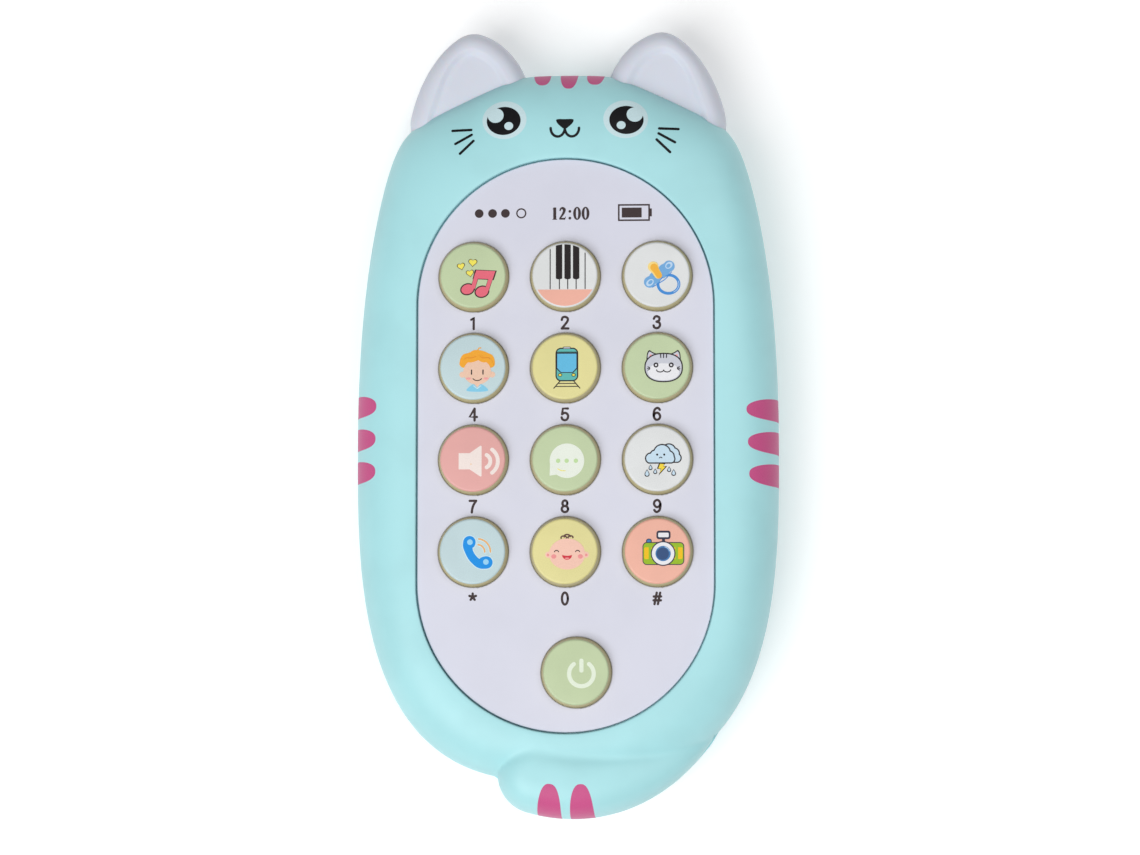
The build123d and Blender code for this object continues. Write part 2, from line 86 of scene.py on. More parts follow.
def make_piece(name, skins, body, materials, corner=32, outward=True):
    """One closed mesh from several skins in millimetres, riding on a CAD body."""
    starts = np.cumsum([0] + [len(s[0]) for s in skins])
    points = np.concatenate([s[0] for s in skins]) * MM
    quads = np.concatenate([s[1] + start for s, start in zip(skins, starts)])
    tones = np.concatenate([np.full(len(s[1]), s[2]) for s in skins])
    mesh = bpy.data.meshes.new(name)
    mesh.from_pydata(points, [], quads.tolist())
    mesh.polygons.foreach_set("material_index", tones)
    for material in materials:
        mesh.materials.append(material)
    work = bmesh.new()
    work.from_mesh(mesh)
    bmesh.ops.remove_doubles(work, verts=work.verts, dist=1e-7)
    bmesh.ops.dissolve_degenerate(work, edges=work.edges, dist=1e-8)
    if outward:
        bmesh.ops.recalc_face_normals(work, faces=work.faces)
    work.to_mesh(mesh)
    work.free()
    mesh.shade_smooth()
    mesh.set_sharp_from_angle(angle=math.radians(corner))
    piece = bpy.data.objects.new(name, mesh)
    bpy.context.scene.collection.objects.link(piece)
    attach(piece, body)
    return piece


# %% [markdown]
# ## Shader maths
# A finish is a handful of formulas: a little colour drift, a fine grain, a wear mask. Written as
# nodes these are hard to read, so one small class wraps a socket and lets Python's own operators
# add the Math nodes. Colours go through Mix nodes, because a Math node would turn them grey.

# %% A socket with operators
class Wire:
    """A shader socket that adds Math nodes when it is used in arithmetic."""

    def __init__(self, shader, socket):
        self.shader, self.socket = shader, socket

    def maths(self, operation, *values):
        return self.shader.node("ShaderNodeMath", values, operation=operation)

    def __add__(self, other):
        return self.maths("ADD", self, other)

    def __sub__(self, other):
        return self.maths("SUBTRACT", self, other)

    def __rsub__(self, other):
        return self.maths("SUBTRACT", other, self)

    def __mul__(self, other):
        return self.maths("MULTIPLY", self, other)

    __radd__, __rmul__ = __add__, __mul__

    def between(self, low, high):
        """0 below low, 1 above high, and a smooth rise in between."""
        node = {"data_type": "FLOAT", "interpolation_type": "SMOOTHSTEP"}
        return self.shader.node("ShaderNodeMapRange", (self, low, high, 0, 1), **node)


class Shader:
    """The node tree of one finish, on object coordinates in millimetres."""

    def __init__(self, name):
        self.material = bpy.data.materials.new(name)
        self.material.use_nodes = True
        self.tree = self.material.node_tree
        self.surface = self.tree.nodes["Principled BSDF"]
        metres = Wire(self, self.tree.nodes.new("ShaderNodeTexCoord").outputs["Object"])
        self.place = self.node("ShaderNodeVectorMath", (metres, (1 / MM,) * 3), operation="MULTIPLY")

    def plug(self, value, socket):
        """Links a wire to a socket, or sets the socket to a number or colour."""
        if isinstance(value, Wire):
            self.tree.links.new(value.socket, socket)
        else:
            socket.default_value = value

    def node(self, kind, values=(), out=0, **settings):
        """Any node: its settings first, then its sockets in order or by name."""
        made = self.tree.nodes.new(kind)
        for key, value in settings.items():
            setattr(made, key, value)
        pairs = values.items() if isinstance(values, dict) else enumerate(values)
        for key, value in pairs:
            self.plug(value, made.inputs[key])
        return Wire(self, made.outputs[out])

    def noise(self, size, detail=3.0, rough=0.55):
        """Soft noise about 0.5 whose blobs are about that many millimetres across."""
        values = {"Vector": self.place, "Scale": 1 / size, "Detail": detail, "Roughness": rough}
        return self.node("ShaderNodeTexNoise", values)

    def mix(self, share, first, second):
        """The first colour where share is 0 and the second where it is 1."""
        made = self.tree.nodes.new("ShaderNodeMix")
        made.data_type = "RGBA"
        for socket, value in zip((made.inputs[0], made.inputs[6], made.inputs[7]), (share, first, second)):
            self.plug(value, socket)
        return Wire(self, made.outputs[2])

    def bump(self, height, strength, distance=0.0001):
        values = {"Strength": strength, "Distance": distance, "Height": height}
        self.plug(self.node("ShaderNodeBump", values), self.surface.inputs["Normal"])

    def set(self, **values):
        """Principled sockets by name, with spaces as underscores."""
        for key, value in values.items():
            self.plug(value, self.surface.inputs[key.replace("_", " ")])
        return self.material


def tint(red, green, blue):
    """A screen colour from 0 to 255, as the linear colour that shaders work in."""
    levels = np.array([red, green, blue]) / 255
    linear = np.where(levels <= 0.04045, levels / 12.92, ((levels + 0.055) / 1.055) ** 2.4)
    return (*linear.clip(0, 1).tolist(), 1.0)


def paler(colour, factor, added=0.0):
    """A colour times a factor, which darkens it when below one, plus a little white."""
    return tuple(min(c * factor + added, 1) for c in colour[:3]) + (1.0,)


# %% [markdown]
# ## Finishes
# The shells and the key plate are satin mouldings: spark-eroded moulds leave a very fine, even
# grain that softens every highlight. The same recipe does for all of them, with a colour that
# drifts by a percent or two, as real pigment and a child's hands leave it.

# %% Moulded plastic and rubber
def moulded(name, colour, rough=0.45, grain=0.05, drift=0.05, **more):
    """Satin plastic: broad colour drift, uneven gloss and the fine grain of the mould."""
    s = Shader(name)
    deep = paler(colour, 1 - drift)
    s.set(Base_Color=s.mix(s.noise(14.0).between(0.35, 0.7), colour, deep))
    s.set(Roughness=s.noise(5.0) * 0.12 + (rough - 0.06), **more)
    s.bump(s.noise(0.22, detail=2.0), grain, 0.00002)
    return s.material


MINT = moulded("mint_shell", tint(172, 227, 232), rough=0.46)
WHITE = moulded("plate_white", tint(214, 215, 229), rough=0.42, drift=0.03)
SILICONE = moulded(
    "ear_rubber", tint(212, 216, 228), rough=0.55, drift=0.03, grain=0.08,
    Subsurface_Weight=0.15, Subsurface_Scale=0.002,
)
print("finishes:", MINT.name, WHITE.name, SILICONE.name)

# %% [markdown]
# ## The outline of the phone
# The front shell is the face of the toy, so its edge is worth a formula. Seen from above the body
# is a superellipse: the sides bulge softly and the chin is round. Two flats trim it, the crown of
# the head and the shoulders that carry the ears, and a high power rounds the corners where they
# meet. The tail is a row of circles that shrink along a bent line, round the chin from its tip.
# Written as the distance from the body's middle in each direction, both make one closed line.

# %% Outline and opening
BODY_MIDDLE_Y = -5.15
HALF_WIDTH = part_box("front_shell")[1][0] / MM
PARTING, RIM, WALL = 12.0, 24.2, 2.2
OPENING_RADIUS, PLATE_RADIUS, HALF_STRAIGHT = 29.98, 29.7, 27.85
HEAD_REACH, CHIN_REACH = 96.1, 67.55  # where the superellipse above and below the middle would end
HEAD_POWER, CHIN_POWER = 2.285, 2.89
SHOULDER_FACING, SHOULDER_REACH = math.radians(65.15), 73.55
CROWN_REACH = 76.35
SOFT_JOIN, CRISP_JOIN = 30.7, 90  # the higher the power, the tighter the corner
TAIL_LINE = np.array([(-6.1, -71.1), (10.0, -75.6), (28.9, -63.65)])
TAIL_RADIUS, TAIL_TAPER, TAIL_POWER = 8.0, 7.5, 2.61


def norm(power, *terms):
    """The power norm: it follows the largest term, and rounds the change from one to another."""
    return sum(term**power for term in terms) ** (1 / power)


def across_circles(turn, centres, radii):
    """The far side of a group of circles, as a distance from the middle in each direction."""
    ray = np.stack([np.cos(turn), np.sin(turn)], -1)
    along = ray @ centres.T
    under = radii**2 - (centres**2).sum(1) + along**2
    far = along + np.sqrt(np.maximum(under, 0))
    return np.where((under > 0) & (along > 0), far, 0).max(-1)


def body_reach(turn):
    """Superellipse sides and a shoulder flat joined by a high power, then cut by a crisp crown."""
    across, up = np.abs(np.cos(turn)), np.sin(turn)
    height = np.where(up > 0, HEAD_REACH, CHIN_REACH)
    sides = norm(np.where(up > 0, HEAD_POWER, CHIN_POWER), across / HALF_WIDTH, np.abs(up) / height)
    facing = across * math.cos(SHOULDER_FACING) + up * math.sin(SHOULDER_FACING)
    shoulder = np.maximum(facing, 0) / SHOULDER_REACH
    crown = np.maximum(up, 0) / CROWN_REACH
    return 1 / norm(CRISP_JOIN, norm(SOFT_JOIN, sides, shoulder), crown)


def tail_circles():
    """Middles and radii of the tail's circles: a three-point Bezier curve, and a falling power."""
    s = np.linspace(0, 1, 150)
    weights = np.stack([(1 - s) ** 2, 2 * s * (1 - s), s**2], -1)
    return weights @ TAIL_LINE, TAIL_RADIUS - TAIL_TAPER * s**TAIL_POWER


def outline_reach(turn):
    """The body and the tail together, as the distance of the edge in each direction."""
    centres, radii = tail_circles()
    tail = across_circles(turn, centres - (0, BODY_MIDDLE_Y), radii)
    return norm(CRISP_JOIN, body_reach(turn), tail)


def opening_reach(turn, radius=OPENING_RADIUS):
    """A stadium: the straight side where the ray meets it, else the round end beyond it."""
    across, up = np.abs(np.cos(turn)), np.abs(np.sin(turn))
    straight = radius / np.maximum(across, 1e-9)
    drop = HALF_STRAIGHT * up
    curved = drop + np.sqrt(np.maximum(drop**2 - HALF_STRAIGHT**2 + radius**2, 0))
    return np.where(straight * up <= HALF_STRAIGHT, straight, curved)


print("shell half width", round(float(HALF_WIDTH), 2), "mm")

# %% [markdown]
# ## The front shell's surface
# From the parting line the shell rises steeply and rolls over to a nearly level rim: a quarter of
# a superellipse. The tail is its own rounded ridge, so where the two heights cross there is a soft
# valley round the chin. A smooth maximum of the two heights joins them, as a mould maker's small
# radius would. Points crowd towards the steep edge, and towards the tail's tip, where the form
# turns fastest. The film of ink later needs the same height, so it is a function of the place.

# %% Height of the shell
EDGE_POWER = 2.4
TAIL_RISE = 12.4
TAIL_ZONE_Y = -50  # the tail's height is worked out only below this line
VALLEY, FADE = 0.9, 3  # the valley beside the tail, and the height over which it opens


def dome(share):
    """A quarter superellipse: 0 at the edge, where it is upright, and 1 and level at the rim."""
    return (1 - (1 - share.clip(0, 1)) ** EDGE_POWER) ** (1 / EDGE_POWER)


def tail_height(plan):
    """The highest of the tail's domes: each circle's falls from its middle to the parting line."""
    centres, radii = tail_circles()
    gap = np.linalg.norm(plan[..., None, :] - centres, axis=-1) / radii
    domes = np.sqrt(radii / radii[0]) * (1 - gap.clip(0, 1) ** 3) ** (1 / 3)
    return PARTING + TAIL_RISE * domes.max(-1)


def shell_height(plan):
    """The smooth maximum of the body's dome and the tail's, fading out at the parting line."""
    x, y = plan[..., 0], plan[..., 1] - BODY_MIDDLE_Y
    turn, reach = np.arctan2(y, x), np.hypot(x, y)
    edge, hole = body_reach(turn), opening_reach(turn)
    body = PARTING + (RIM - PARTING) * dome((edge - reach) / (edge - hole))
    tail = np.full(body.shape, PARTING)
    near = plan[..., 1] < TAIL_ZONE_Y
    if near.any():
        tail[near] = tail_height(plan[near])
    soft = VALLEY * ((np.maximum(body, tail) - PARTING) / FADE).clip(0, 1) + 1e-6
    share = (0.5 + 0.5 * (tail - body) / soft).clip(0, 1)
    return body + (tail - body) * share + soft * share * (1 - share)


def at_height(plan, height):
    """Plan points with a height, which is one number or a number for each of them."""
    return np.concatenate([plan, np.broadcast_to(height, plan.shape[:-1])[..., None]], -1)


def shell_plan(turn, share, inset=0.0, hole=OPENING_RADIUS):
    """The place in plan that share of the way from the outline to the opening."""
    reach = (outline_reach(turn) - inset) * (1 - share) + opening_reach(turn, hole) * share
    return np.stack([reach * np.cos(turn), BODY_MIDDLE_Y + reach * np.sin(turn)], -1)


# %% The front shell
LIP_RADIUS, PLATE_GAP = 0.3, 0.04
LEDGE_TOP = 21.9  # a narrow ledge under the plate's edge, so that no light or crumb gets past it
degrees = np.concatenate([
    np.arange(-52, 196, 0.62), np.arange(196, 250, 0.3),
    np.arange(250, 270, 0.12), np.arange(270, 308, 0.3),
])
TURNS = np.radians(degrees)
rise = np.linspace(0, math.pi / 2, 46)
edge_shares = 1 - np.cos(rise) ** (2 / EDGE_POWER)


def front_shell_skin():
    """Rows from the parting line over the dome, round the lip, and back inside the wall."""
    plan = shell_plan(TURNS[None, :], edge_shares[:-1, None])
    outer = at_height(plan, shell_height(plan))
    rim = shell_plan(TURNS[None, :], np.ones((1, 1)))
    away = rim - (0, BODY_MIDDLE_Y)
    away /= np.linalg.norm(away, axis=-1)[..., None]
    roll = np.radians([90, 60, 30, 0])[:, None]
    top = shell_height(rim + away * LIP_RADIUS)
    round_the_lip = rim + away * LIP_RADIUS * (1 - np.cos(roll[..., None]))
    lip = at_height(round_the_lip, top - LIP_RADIUS * (1 - np.sin(roll)))
    ledge = shell_plan(TURNS[None, :], np.ones((1, 1)), hole=PLATE_RADIUS + PLATE_GAP)
    drops = ((rim, LEDGE_TOP), (ledge, LEDGE_TOP), (ledge, RIM - WALL))
    foot = [at_height(place, height) for place, height in drops]
    inner_plan = shell_plan(TURNS[None, :], edge_shares[::-3, None], WALL)
    inside = PARTING + (RIM - WALL - PARTING) * dome(edge_shares[::-3, None])
    inner = at_height(inner_plan, inside)[1:]
    return skin(np.concatenate([outer, lip, *foot, inner]), wrap_rows=True, wrap_columns=True)


def turned(profile, x, y, count=48, tone=0):
    """A round solid: (radius, height) points carried round an upright axis."""
    profile = np.array(profile, float)
    turn = np.linspace(0, TAU, count, endpoint=False)
    ring = np.stack([np.cos(turn), np.sin(turn)], -1)
    plan = profile[:, None, :1] * ring + (x, y)
    return skin(at_height(plan, profile[:, 1:]), wrap_columns=True, tone=tone)


screw_post = [(0, 20), (1.1, 20), (1.1, PARTING), (2.8, PARTING), (2.8, 22.4), (0, 22.4)]
SCREW_PLACES = [(20.0, 56.0), (36.0, BODY_MIDDLE_Y), (19.6, -62.35)]


def post(x, y):
    """A hollow post whose closed end follows the middle of the shell's wall."""
    points, quads, tone = turned(screw_post, x, y)
    roof = shell_height(points[:, :2]) - WALL / 2
    points[:, 2] = np.where(points[:, 2] > 22, roof, np.minimum(points[:, 2], roof - 1))
    return points, quads, tone


posts = [post(side * x, y) for x, y in SCREW_PLACES for side in (-1, 1)]
front_shell = make_piece("front_shell_skin", [front_shell_skin(), *posts], "housing", [MINT])
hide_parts("front_shell")
print("front shell:", len(front_shell.data.polygons), "faces")

# %% [markdown]
# ## The ears
# Each ear is a soft pad pinched between the two shells. Seen from above it is a rounded triangle:
# four straight facings joined by a power a little over two, which makes the sides belly out. The
# rim rolls over like a cushion's, and inside it the face sinks a little, so that a faint bright
# ridge follows the rim. One profile of inset and height makes all of that, with the rim a fixed
# width rather than a share of the ear, as it is on the real one.

# %% Ears
EAR_MIDDLE = (21.0, 63.0)
EAR_ROLL, EAR_RAMP, EAR_SINK = 3.6, 1.9, 0.7  # the rolled rim, the slope inside it, and its depth
EAR_POWER = 2.3
ear_low, ear_high = (float(corner[2]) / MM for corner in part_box("ear_right"))


def ear_reach(turn):
    """Four facings, each at its own distance, joined by a power norm of how far a ray faces them."""
    facings = np.radians([10.9, 174.0, 83.6, 270.0])
    distances = np.array([11.02, 14.0, 17.45, 9.3])
    facing = np.maximum(np.cos(turn[..., None] - facings), 0) / distances
    power = 2.1
    return (facing**power).sum(-1) ** (-1 / power)


def ear_skin(grow=0.0):
    """Rows go out over the sunk face, up the ridge, round the rim, and back underneath."""
    turn = np.linspace(0, TAU, 240, endpoint=False)
    reach = ear_reach(turn)[None, :] + grow
    bend = np.radians(np.linspace(90, -90, 33))[:, None]
    half = (ear_high - ear_low) / 2 + grow
    middle = (ear_high + ear_low) / 2
    round_plan = reach - EAR_ROLL * (1 - np.cos(bend) ** (2 / EAR_POWER))
    rolled = np.sign(np.sin(bend)) * np.abs(np.sin(bend)) ** (2 / EAR_POWER)
    round_high = middle + rolled * half + 0 * reach
    step = np.linspace(0, 1, 12)[:, None]
    slope = 3 * step**2 - 2 * step**3
    floor_reach = reach - EAR_ROLL - EAR_RAMP
    ramp_plan = floor_reach + EAR_RAMP * step
    ramp_high = middle + half - EAR_SINK * (1 - slope) + 0 * reach
    floor_plan = floor_reach * np.linspace(0, 1, 14)[:-1, None]
    floor_high = middle + half - EAR_SINK + 0 * floor_plan
    back_plan = (reach - EAR_ROLL) * np.linspace(1, 0, 8)[1:, None]
    back_high = middle - half + 0 * back_plan
    plan = np.concatenate([floor_plan, ramp_plan[:-1], round_plan, back_plan])
    high = np.concatenate([floor_high, ramp_high[:-1], round_high, back_high])
    x, y = EAR_MIDDLE[0] + plan * np.cos(turn), EAR_MIDDLE[1] + plan * np.sin(turn)
    return np.dstack([x, y, high])


def carve(piece, skins):
    """Cuts closed shapes out of a piece, with the exact boolean, and keeps the result as its mesh."""
    cutter = make_piece("cutter", skins, "housing", [])
    cut = piece.modifiers.new("cut", "BOOLEAN")
    cut.operation, cut.solver, cut.object = "DIFFERENCE", "EXACT", cutter
    cut.use_self = True
    ready = piece.evaluated_get(bpy.context.evaluated_depsgraph_get())
    mesh = bpy.data.meshes.new_from_object(ready)
    piece.modifiers.clear()
    mesh.name = piece.data.name + "_cut"
    piece.data = mesh
    mesh.set_sharp_from_angle(angle=math.radians(32))
    bpy.data.objects.remove(cutter)


flip = np.array([-1, 1, 1])
for name, mirror in (("ear_right", 1), ("ear_left", flip)):
    ear = make_piece(name + "_pad", [skin(ear_skin() * mirror, wrap_columns=True)], "housing", [SILICONE])
    x, y = SCREW_PLACES[0]
    hole = turned([(0, 0), (3.1, 0), (3.1, RIM), (0, RIM)], math.copysign(x, ear.bound_box[0][0]), y)
    carve(ear, [hole])
    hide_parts(name)
    print(name, len(ear.data.polygons), "faces")

sockets = [skin(ear_skin(0.1) * mirror, wrap_columns=True) for mirror in (1, flip)]
carve(front_shell, sockets)
print("front shell with ear sockets:", len(front_shell.data.polygons), "faces")

# %% [markdown]
# ## The key caps
# A key cap is a turned shape: a printed top, level almost to its edge, a narrow bevel that catches
# the light, and a side wall that leans out a little towards the plate. Under the plate a flange
# stops the cap, and a stem reaches the rubber dome. The tops carry the print, but the wall is the
# bare yellowish plastic, so the two are separate finishes on one closed mesh.

# %% Finishes of the key caps
KEY_COLOURS = {
    "key_green": (190, 206, 164), "key_white": (221, 223, 223), "key_blue": (191, 213, 217),
    "key_yellow": (224, 216, 148), "key_pink": (226, 166, 161), "key_salmon": (236, 176, 156),
}
KEY_SLOTS = {
    "key_green": ["key_1", "key_6", "key_8", "power_button"],
    "key_white": ["key_2", "key_3", "key_9"],
    "key_blue": ["key_4", "key_star"],
    "key_yellow": ["key_5", "key_0"],
    "key_pink": ["key_7"],
    "key_salmon": ["key_hash"],
}


def printed(name, colour, rough=0.36, drift=0.07, **more):
    """Ink on plastic: colour broken by the fine dots of the print, under a thin even gloss."""
    s = Shader(name)
    pale, deep = paler(colour, 1.15, 0.004), paler(colour, 1 - drift)
    dots = s.noise(0.16, detail=1.0).between(0.42, 0.6)
    base = s.mix(s.noise(9.0).between(0.3, 0.7), colour, deep)
    s.set(Base_Color=s.mix(dots * 0.35, base, pale))
    s.set(Roughness=s.noise(3.0) * 0.1 + (rough - 0.05))
    s.bump(s.noise(0.2, detail=2.0), 0.04, 0.00001)
    return s.set(**more)


def olive_wall():
    """The bare side of a cap: yellowish plastic, with painted shade that darkens it towards the plate."""
    s = Shader("key_wall")
    height = s.node("ShaderNodeSeparateXYZ", (s.place,), out=2)
    # painted shade: the wall's colour darkens from 25.2 mm down to 23.3 mm, near the plate, where little
    # light reaches
    low = height.between(23.3, 25.2)
    s.set(Base_Color=s.mix(low, tint(170, 158, 106), tint(200, 190, 140)), Roughness=0.5)
    s.bump(s.noise(0.3), 0.05, 0.00002)
    return s.material


KEY_TOPS = {slot: printed(slot, tint(*rgb)) for slot, rgb in KEY_COLOURS.items()}
KEY_WALL = olive_wall()
print(len(KEY_TOPS), "key colours")

# %% Caps
KEY_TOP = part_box("key_1")[1][2] / MM
PLATE_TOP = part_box("key_plate")[1][2] / MM
KEY_RADIUS, FACE_RADIUS = 6.85, 6.1
FLANGE_TOP, FLANGE_LOW, STEM_LOW = 21.1, 20.0, 18.7


def key_middle(name):
    low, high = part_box(name)
    return (low[0] + high[0]) / 2 / MM, (low[1] + high[1]) / 2 / MM


def bevel():
    """Points down the printed edge: a quarter ellipse from the level top to the leaning wall."""
    turn = np.radians(np.linspace(0, 75, 8))
    wide, deep = 0.45, 0.4
    radius = FACE_RADIUS + wide * np.sin(turn)
    return [(0, KEY_TOP), (3, KEY_TOP), *zip(radius, KEY_TOP - deep * (1 - np.cos(turn)))]


top_profile = bevel()
wall_profile = [
    top_profile[-1], (6.62, KEY_TOP - 0.5), (7.06, PLATE_TOP + 0.1), (7.06, PLATE_TOP - 0.6),
    (KEY_RADIUS, FLANGE_TOP), (7.8, FLANGE_TOP), (7.9, FLANGE_TOP - 0.1), (7.9, FLANGE_LOW),
    (2.6, FLANGE_LOW), (2.6, STEM_LOW), (1.9, STEM_LOW), (1.9, FLANGE_LOW), (0, FLANGE_LOW),
]
for slot, names in KEY_SLOTS.items():
    for name in names:
        middle = key_middle(name)
        skins = [turned(top_profile, *middle, 96), turned(wall_profile, *middle, 96, tone=1)]
        cap = make_piece(name + "_cap", skins, name, [KEY_TOPS[slot], KEY_WALL], corner=50)
        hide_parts(name)
print("caps at height", round(float(KEY_TOP), 2), "mm on a plate at", round(float(PLATE_TOP), 2))

# %% [markdown]
# ## Ink as a thin film
# Every mark on the toy is ink that stands a few hundredths of a millimetre proud, so each is a
# real, closed film and not a picture. One function makes them all. It takes two edge lines with
# the same number of points and fills the space between them: a disc lies between its rim and its
# middle, a ring between two circles, a line between its left and right sides. A ground function
# then lays the plan on a level face or on the curved shell, and inks laid later lie a layer higher.

# %% The film
LAYER = 0.02
APART = 0.0015  # each film of a picture is this much higher than the last, so none share a plane
SUNK = -0.03


def level(height):
    """Ground for marks on a level face."""
    def lay(plan, lift):
        return at_height(plan, height + lift)
    return lay


def on_shell(plan, lift):
    """Ground for marks on the front shell, lifted square to its surface."""
    step = 0.02
    across, along = np.array([step, 0]), np.array([0, step])
    slope_x = (shell_height(plan + across) - shell_height(plan - across)) / (2 * step)
    slope_y = (shell_height(plan + along) - shell_height(plan - along)) / (2 * step)
    away = np.stack([-slope_x, -slope_y, np.ones_like(slope_x)], -1)
    away /= np.linalg.norm(away, axis=-1)[..., None]
    return at_height(plan, shell_height(plan)) + away * lift


def film(edge, other, closed=True, columns=2):
    """A plan of points, each row running straight from one edge line to the other."""
    share = np.linspace(0, 1, columns)[None, :, None]
    other = np.broadcast_to(np.asarray(other, float), edge.shape)
    return edge[:, None] * (1 - share) + other[:, None] * share, closed


def disc(x, y, wide, tall=None, tilt=0.0, count=40, power=2.0, columns=2):
    """A superellipse about a middle: round for power 2, and squarer above it."""
    turn = np.linspace(0, TAU, count, endpoint=False)
    c, s = np.cos(turn), np.sin(turn)
    rim = np.stack([
        wide * np.sign(c) * np.abs(c) ** (2 / power),
        (tall or wide) * np.sign(s) * np.abs(s) ** (2 / power),
    ], -1)
    return film(rim @ twist(tilt) + (x, y), (x, y), columns=columns)


def twist(degrees):
    """The matrix that turns a row of plan points anticlockwise."""
    c, s = math.cos(math.radians(degrees)), math.sin(math.radians(degrees))
    return np.array([(c, s), (-s, c)])


def ring(x, y, wide, tall, line, count=48):
    """The line of an ellipse: the space between it and a smaller one."""
    turn = np.linspace(0, TAU, count, endpoint=False)
    rim = np.stack([np.cos(turn), np.sin(turn)], -1)
    return film(rim * (wide, tall) + (x, y), rim * (wide - line, tall - line) + (x, y))


def curve(points, closed=False, steps=8):
    """A soft line through a few points: a Catmull-Rom cubic over each span, all at once."""
    p = np.array(points, float)
    if closed:
        before, start, end, after = np.roll(p, 1, 0), p, np.roll(p, -1, 0), np.roll(p, -2, 0)
    else:
        full = np.concatenate([[2 * p[0] - p[1]], p, [2 * p[-1] - p[-2]]])
        before, start, end, after = full[:-3], full[1:-2], full[2:-1], full[3:]
    t = (np.arange(steps) / steps)[None, :, None]
    b, s, e, a = (q[:, None] for q in (before, start, end, after))
    line = 0.5 * (
        2 * s + (e - b) * t + (2 * b - 5 * s + 4 * e - a) * t**2 + (3 * s - b - 3 * e + a) * t**3
    )
    line = line.reshape(-1, 2)
    return line if closed else np.concatenate([line, p[-1:]])


def blot(points, middle=None, soft=True, columns=2):
    """A filled shape round a middle, from a soft or a straight-sided outline."""
    edge = curve(points, closed=True) if soft else np.array(points, float)
    return film(edge, edge.mean(0) if middle is None else middle, columns=columns)


def pen(path, width, closed=False, columns=2):
    """A line of a given width, which may change along it, with round ends."""
    path = np.array(path, float)
    width = np.broadcast_to(np.asarray(width, float), len(path))
    if closed:
        ahead = np.roll(path, -1, 0) - np.roll(path, 1, 0)
    else:
        ahead = np.gradient(path, axis=0)
    ahead /= np.linalg.norm(ahead, axis=-1)[:, None]
    if not closed:
        bend = np.radians(np.linspace(90, 15, 6))[:, None]
        first = path[:1] - ahead[:1] * width[0] / 2 * np.sin(bend)
        last = path[-1:] + ahead[-1:] * width[-1] / 2 * np.sin(bend[::-1])
        path = np.concatenate([first, path, last])
        ahead = np.concatenate([np.repeat(ahead[:1], 6, 0), ahead, np.repeat(ahead[-1:], 6, 0)])
        taper = np.cos(bend[:, 0])
        width = np.concatenate([width[0] * taper, width, width[-1] * taper[::-1]])
    side = np.stack([-ahead[:, 1], ahead[:, 0]], -1) * width[:, None] / 2
    return film(path + side, path - side, closed, columns)


def arc(x, y, wide, start, end, tall=None, count=20):
    """Points round part of an ellipse, from one angle in degrees to another."""
    turn = np.radians(np.linspace(start, end, count))
    return np.stack([x + wide * np.cos(turn), y + (tall or wide) * np.sin(turn)], -1)


def box(left, right, low, high, corner, count=40):
    """A rounded oblong: corners at a distance from an inner frame, filled from its middle."""
    turn = np.linspace(0, TAU, count, endpoint=False) + TAU / (2 * count)
    c, s = np.cos(turn), np.sin(turn)
    x = np.where(c > 0, right - corner, left + corner) + corner * c
    y = np.where(s > 0, high - corner, low + corner) + corner * s
    return film(np.stack([x, y], -1), ((left + right) / 2, (low + high) / 2))


# %% Inks
INK_COLOURS = {
    "black": (12, 12, 16), "line": (34, 27, 32), "plate_ink": (58, 45, 46), "outline": (62, 38, 40),
    "halo": (203, 228, 233), "magenta": (200, 84, 137), "note_pink": (228, 104, 122),
    "heart": (240, 226, 92), "piano": (24, 15, 17), "peach": (236, 176, 158),
    "teat": (240, 178, 60), "teat_pale": (246, 216, 132), "shield": (112, 168, 218),
    "shield_pale": (188, 214, 238), "pull": (66, 140, 212), "hair": (240, 166, 44),
    "hair_deep": (226, 142, 36), "face": (234, 196, 172), "blush": (240, 160, 160),
    "shirt": (130, 200, 228), "teal": (92, 182, 176), "window": (96, 184, 222),
    "fur": (232, 232, 236), "fur_grey": (200, 202, 212), "cream": (240, 226, 220),
    "bubble": (230, 236, 224), "leaf": (190, 220, 160), "cloud": (196, 219, 234),
    "bolt": (244, 214, 60), "handset": (10, 142, 226), "handset_pale": (150, 208, 240),
    "signal": (230, 172, 108), "baby": (242, 196, 178), "cheek": (236, 148, 148),
    "lips": (206, 48, 62), "tuft": (92, 56, 56), "lime": (150, 186, 32), "gold": (238, 190, 16),
    "lens": (64, 120, 176), "lens_deep": (48, 78, 124), "slate": (44, 46, 68),
    "power": (226, 236, 216),
}
inks = {}


def ink(name):
    """The finish of an ink, made the first time that a picture asks for it."""
    if name not in inks:
        inks[name] = printed(
            "ink_" + name, tint(*INK_COLOURS[name]), rough=0.45, drift=0.04, Specular_IOR_Level=0.25,
        )
    return inks[name]


def picture(name, marks, ground, middle, body):
    """One mesh of many marks. Each is (layer, ink, plan), where a plan is a film in millimetres."""
    tones = sorted({colour for _, colour, _ in marks})
    skins = []
    for layer, colour, (plan, closed) in marks:
        plan = plan + middle
        top = ground(plan, LAYER * layer + APART * len(skins))
        under = ground(plan[:, ::-1], SUNK)
        loop = np.concatenate([top, under], axis=1)
        skins.append(skin(loop, wrap_rows=closed, wrap_columns=True, tone=tones.index(colour)))
    made = make_piece(name, skins, body, [ink(tone) for tone in tones])
    return made


print("inks:", len(INK_COLOURS))

# %% [markdown]
# ## The cat's face and stripes
# The face is printed where the shell starts to slope, so its marks follow the curve. The eyes are
# a pale disc, a black one, and two highlights. The nose is a soft inverted triangle, and the mouth
# and whiskers are pen lines with round ends. The face sits a hair to the left of the middle.

# %% Face
ARTWORK_Y = -1.75  # the artwork was laid out from a line this far towards the tail
FACE_X = -0.1


def both(make):
    """The marks of one side of the face and their mirror image."""
    return [mark for side in (-1, 1) for mark in make(side)]


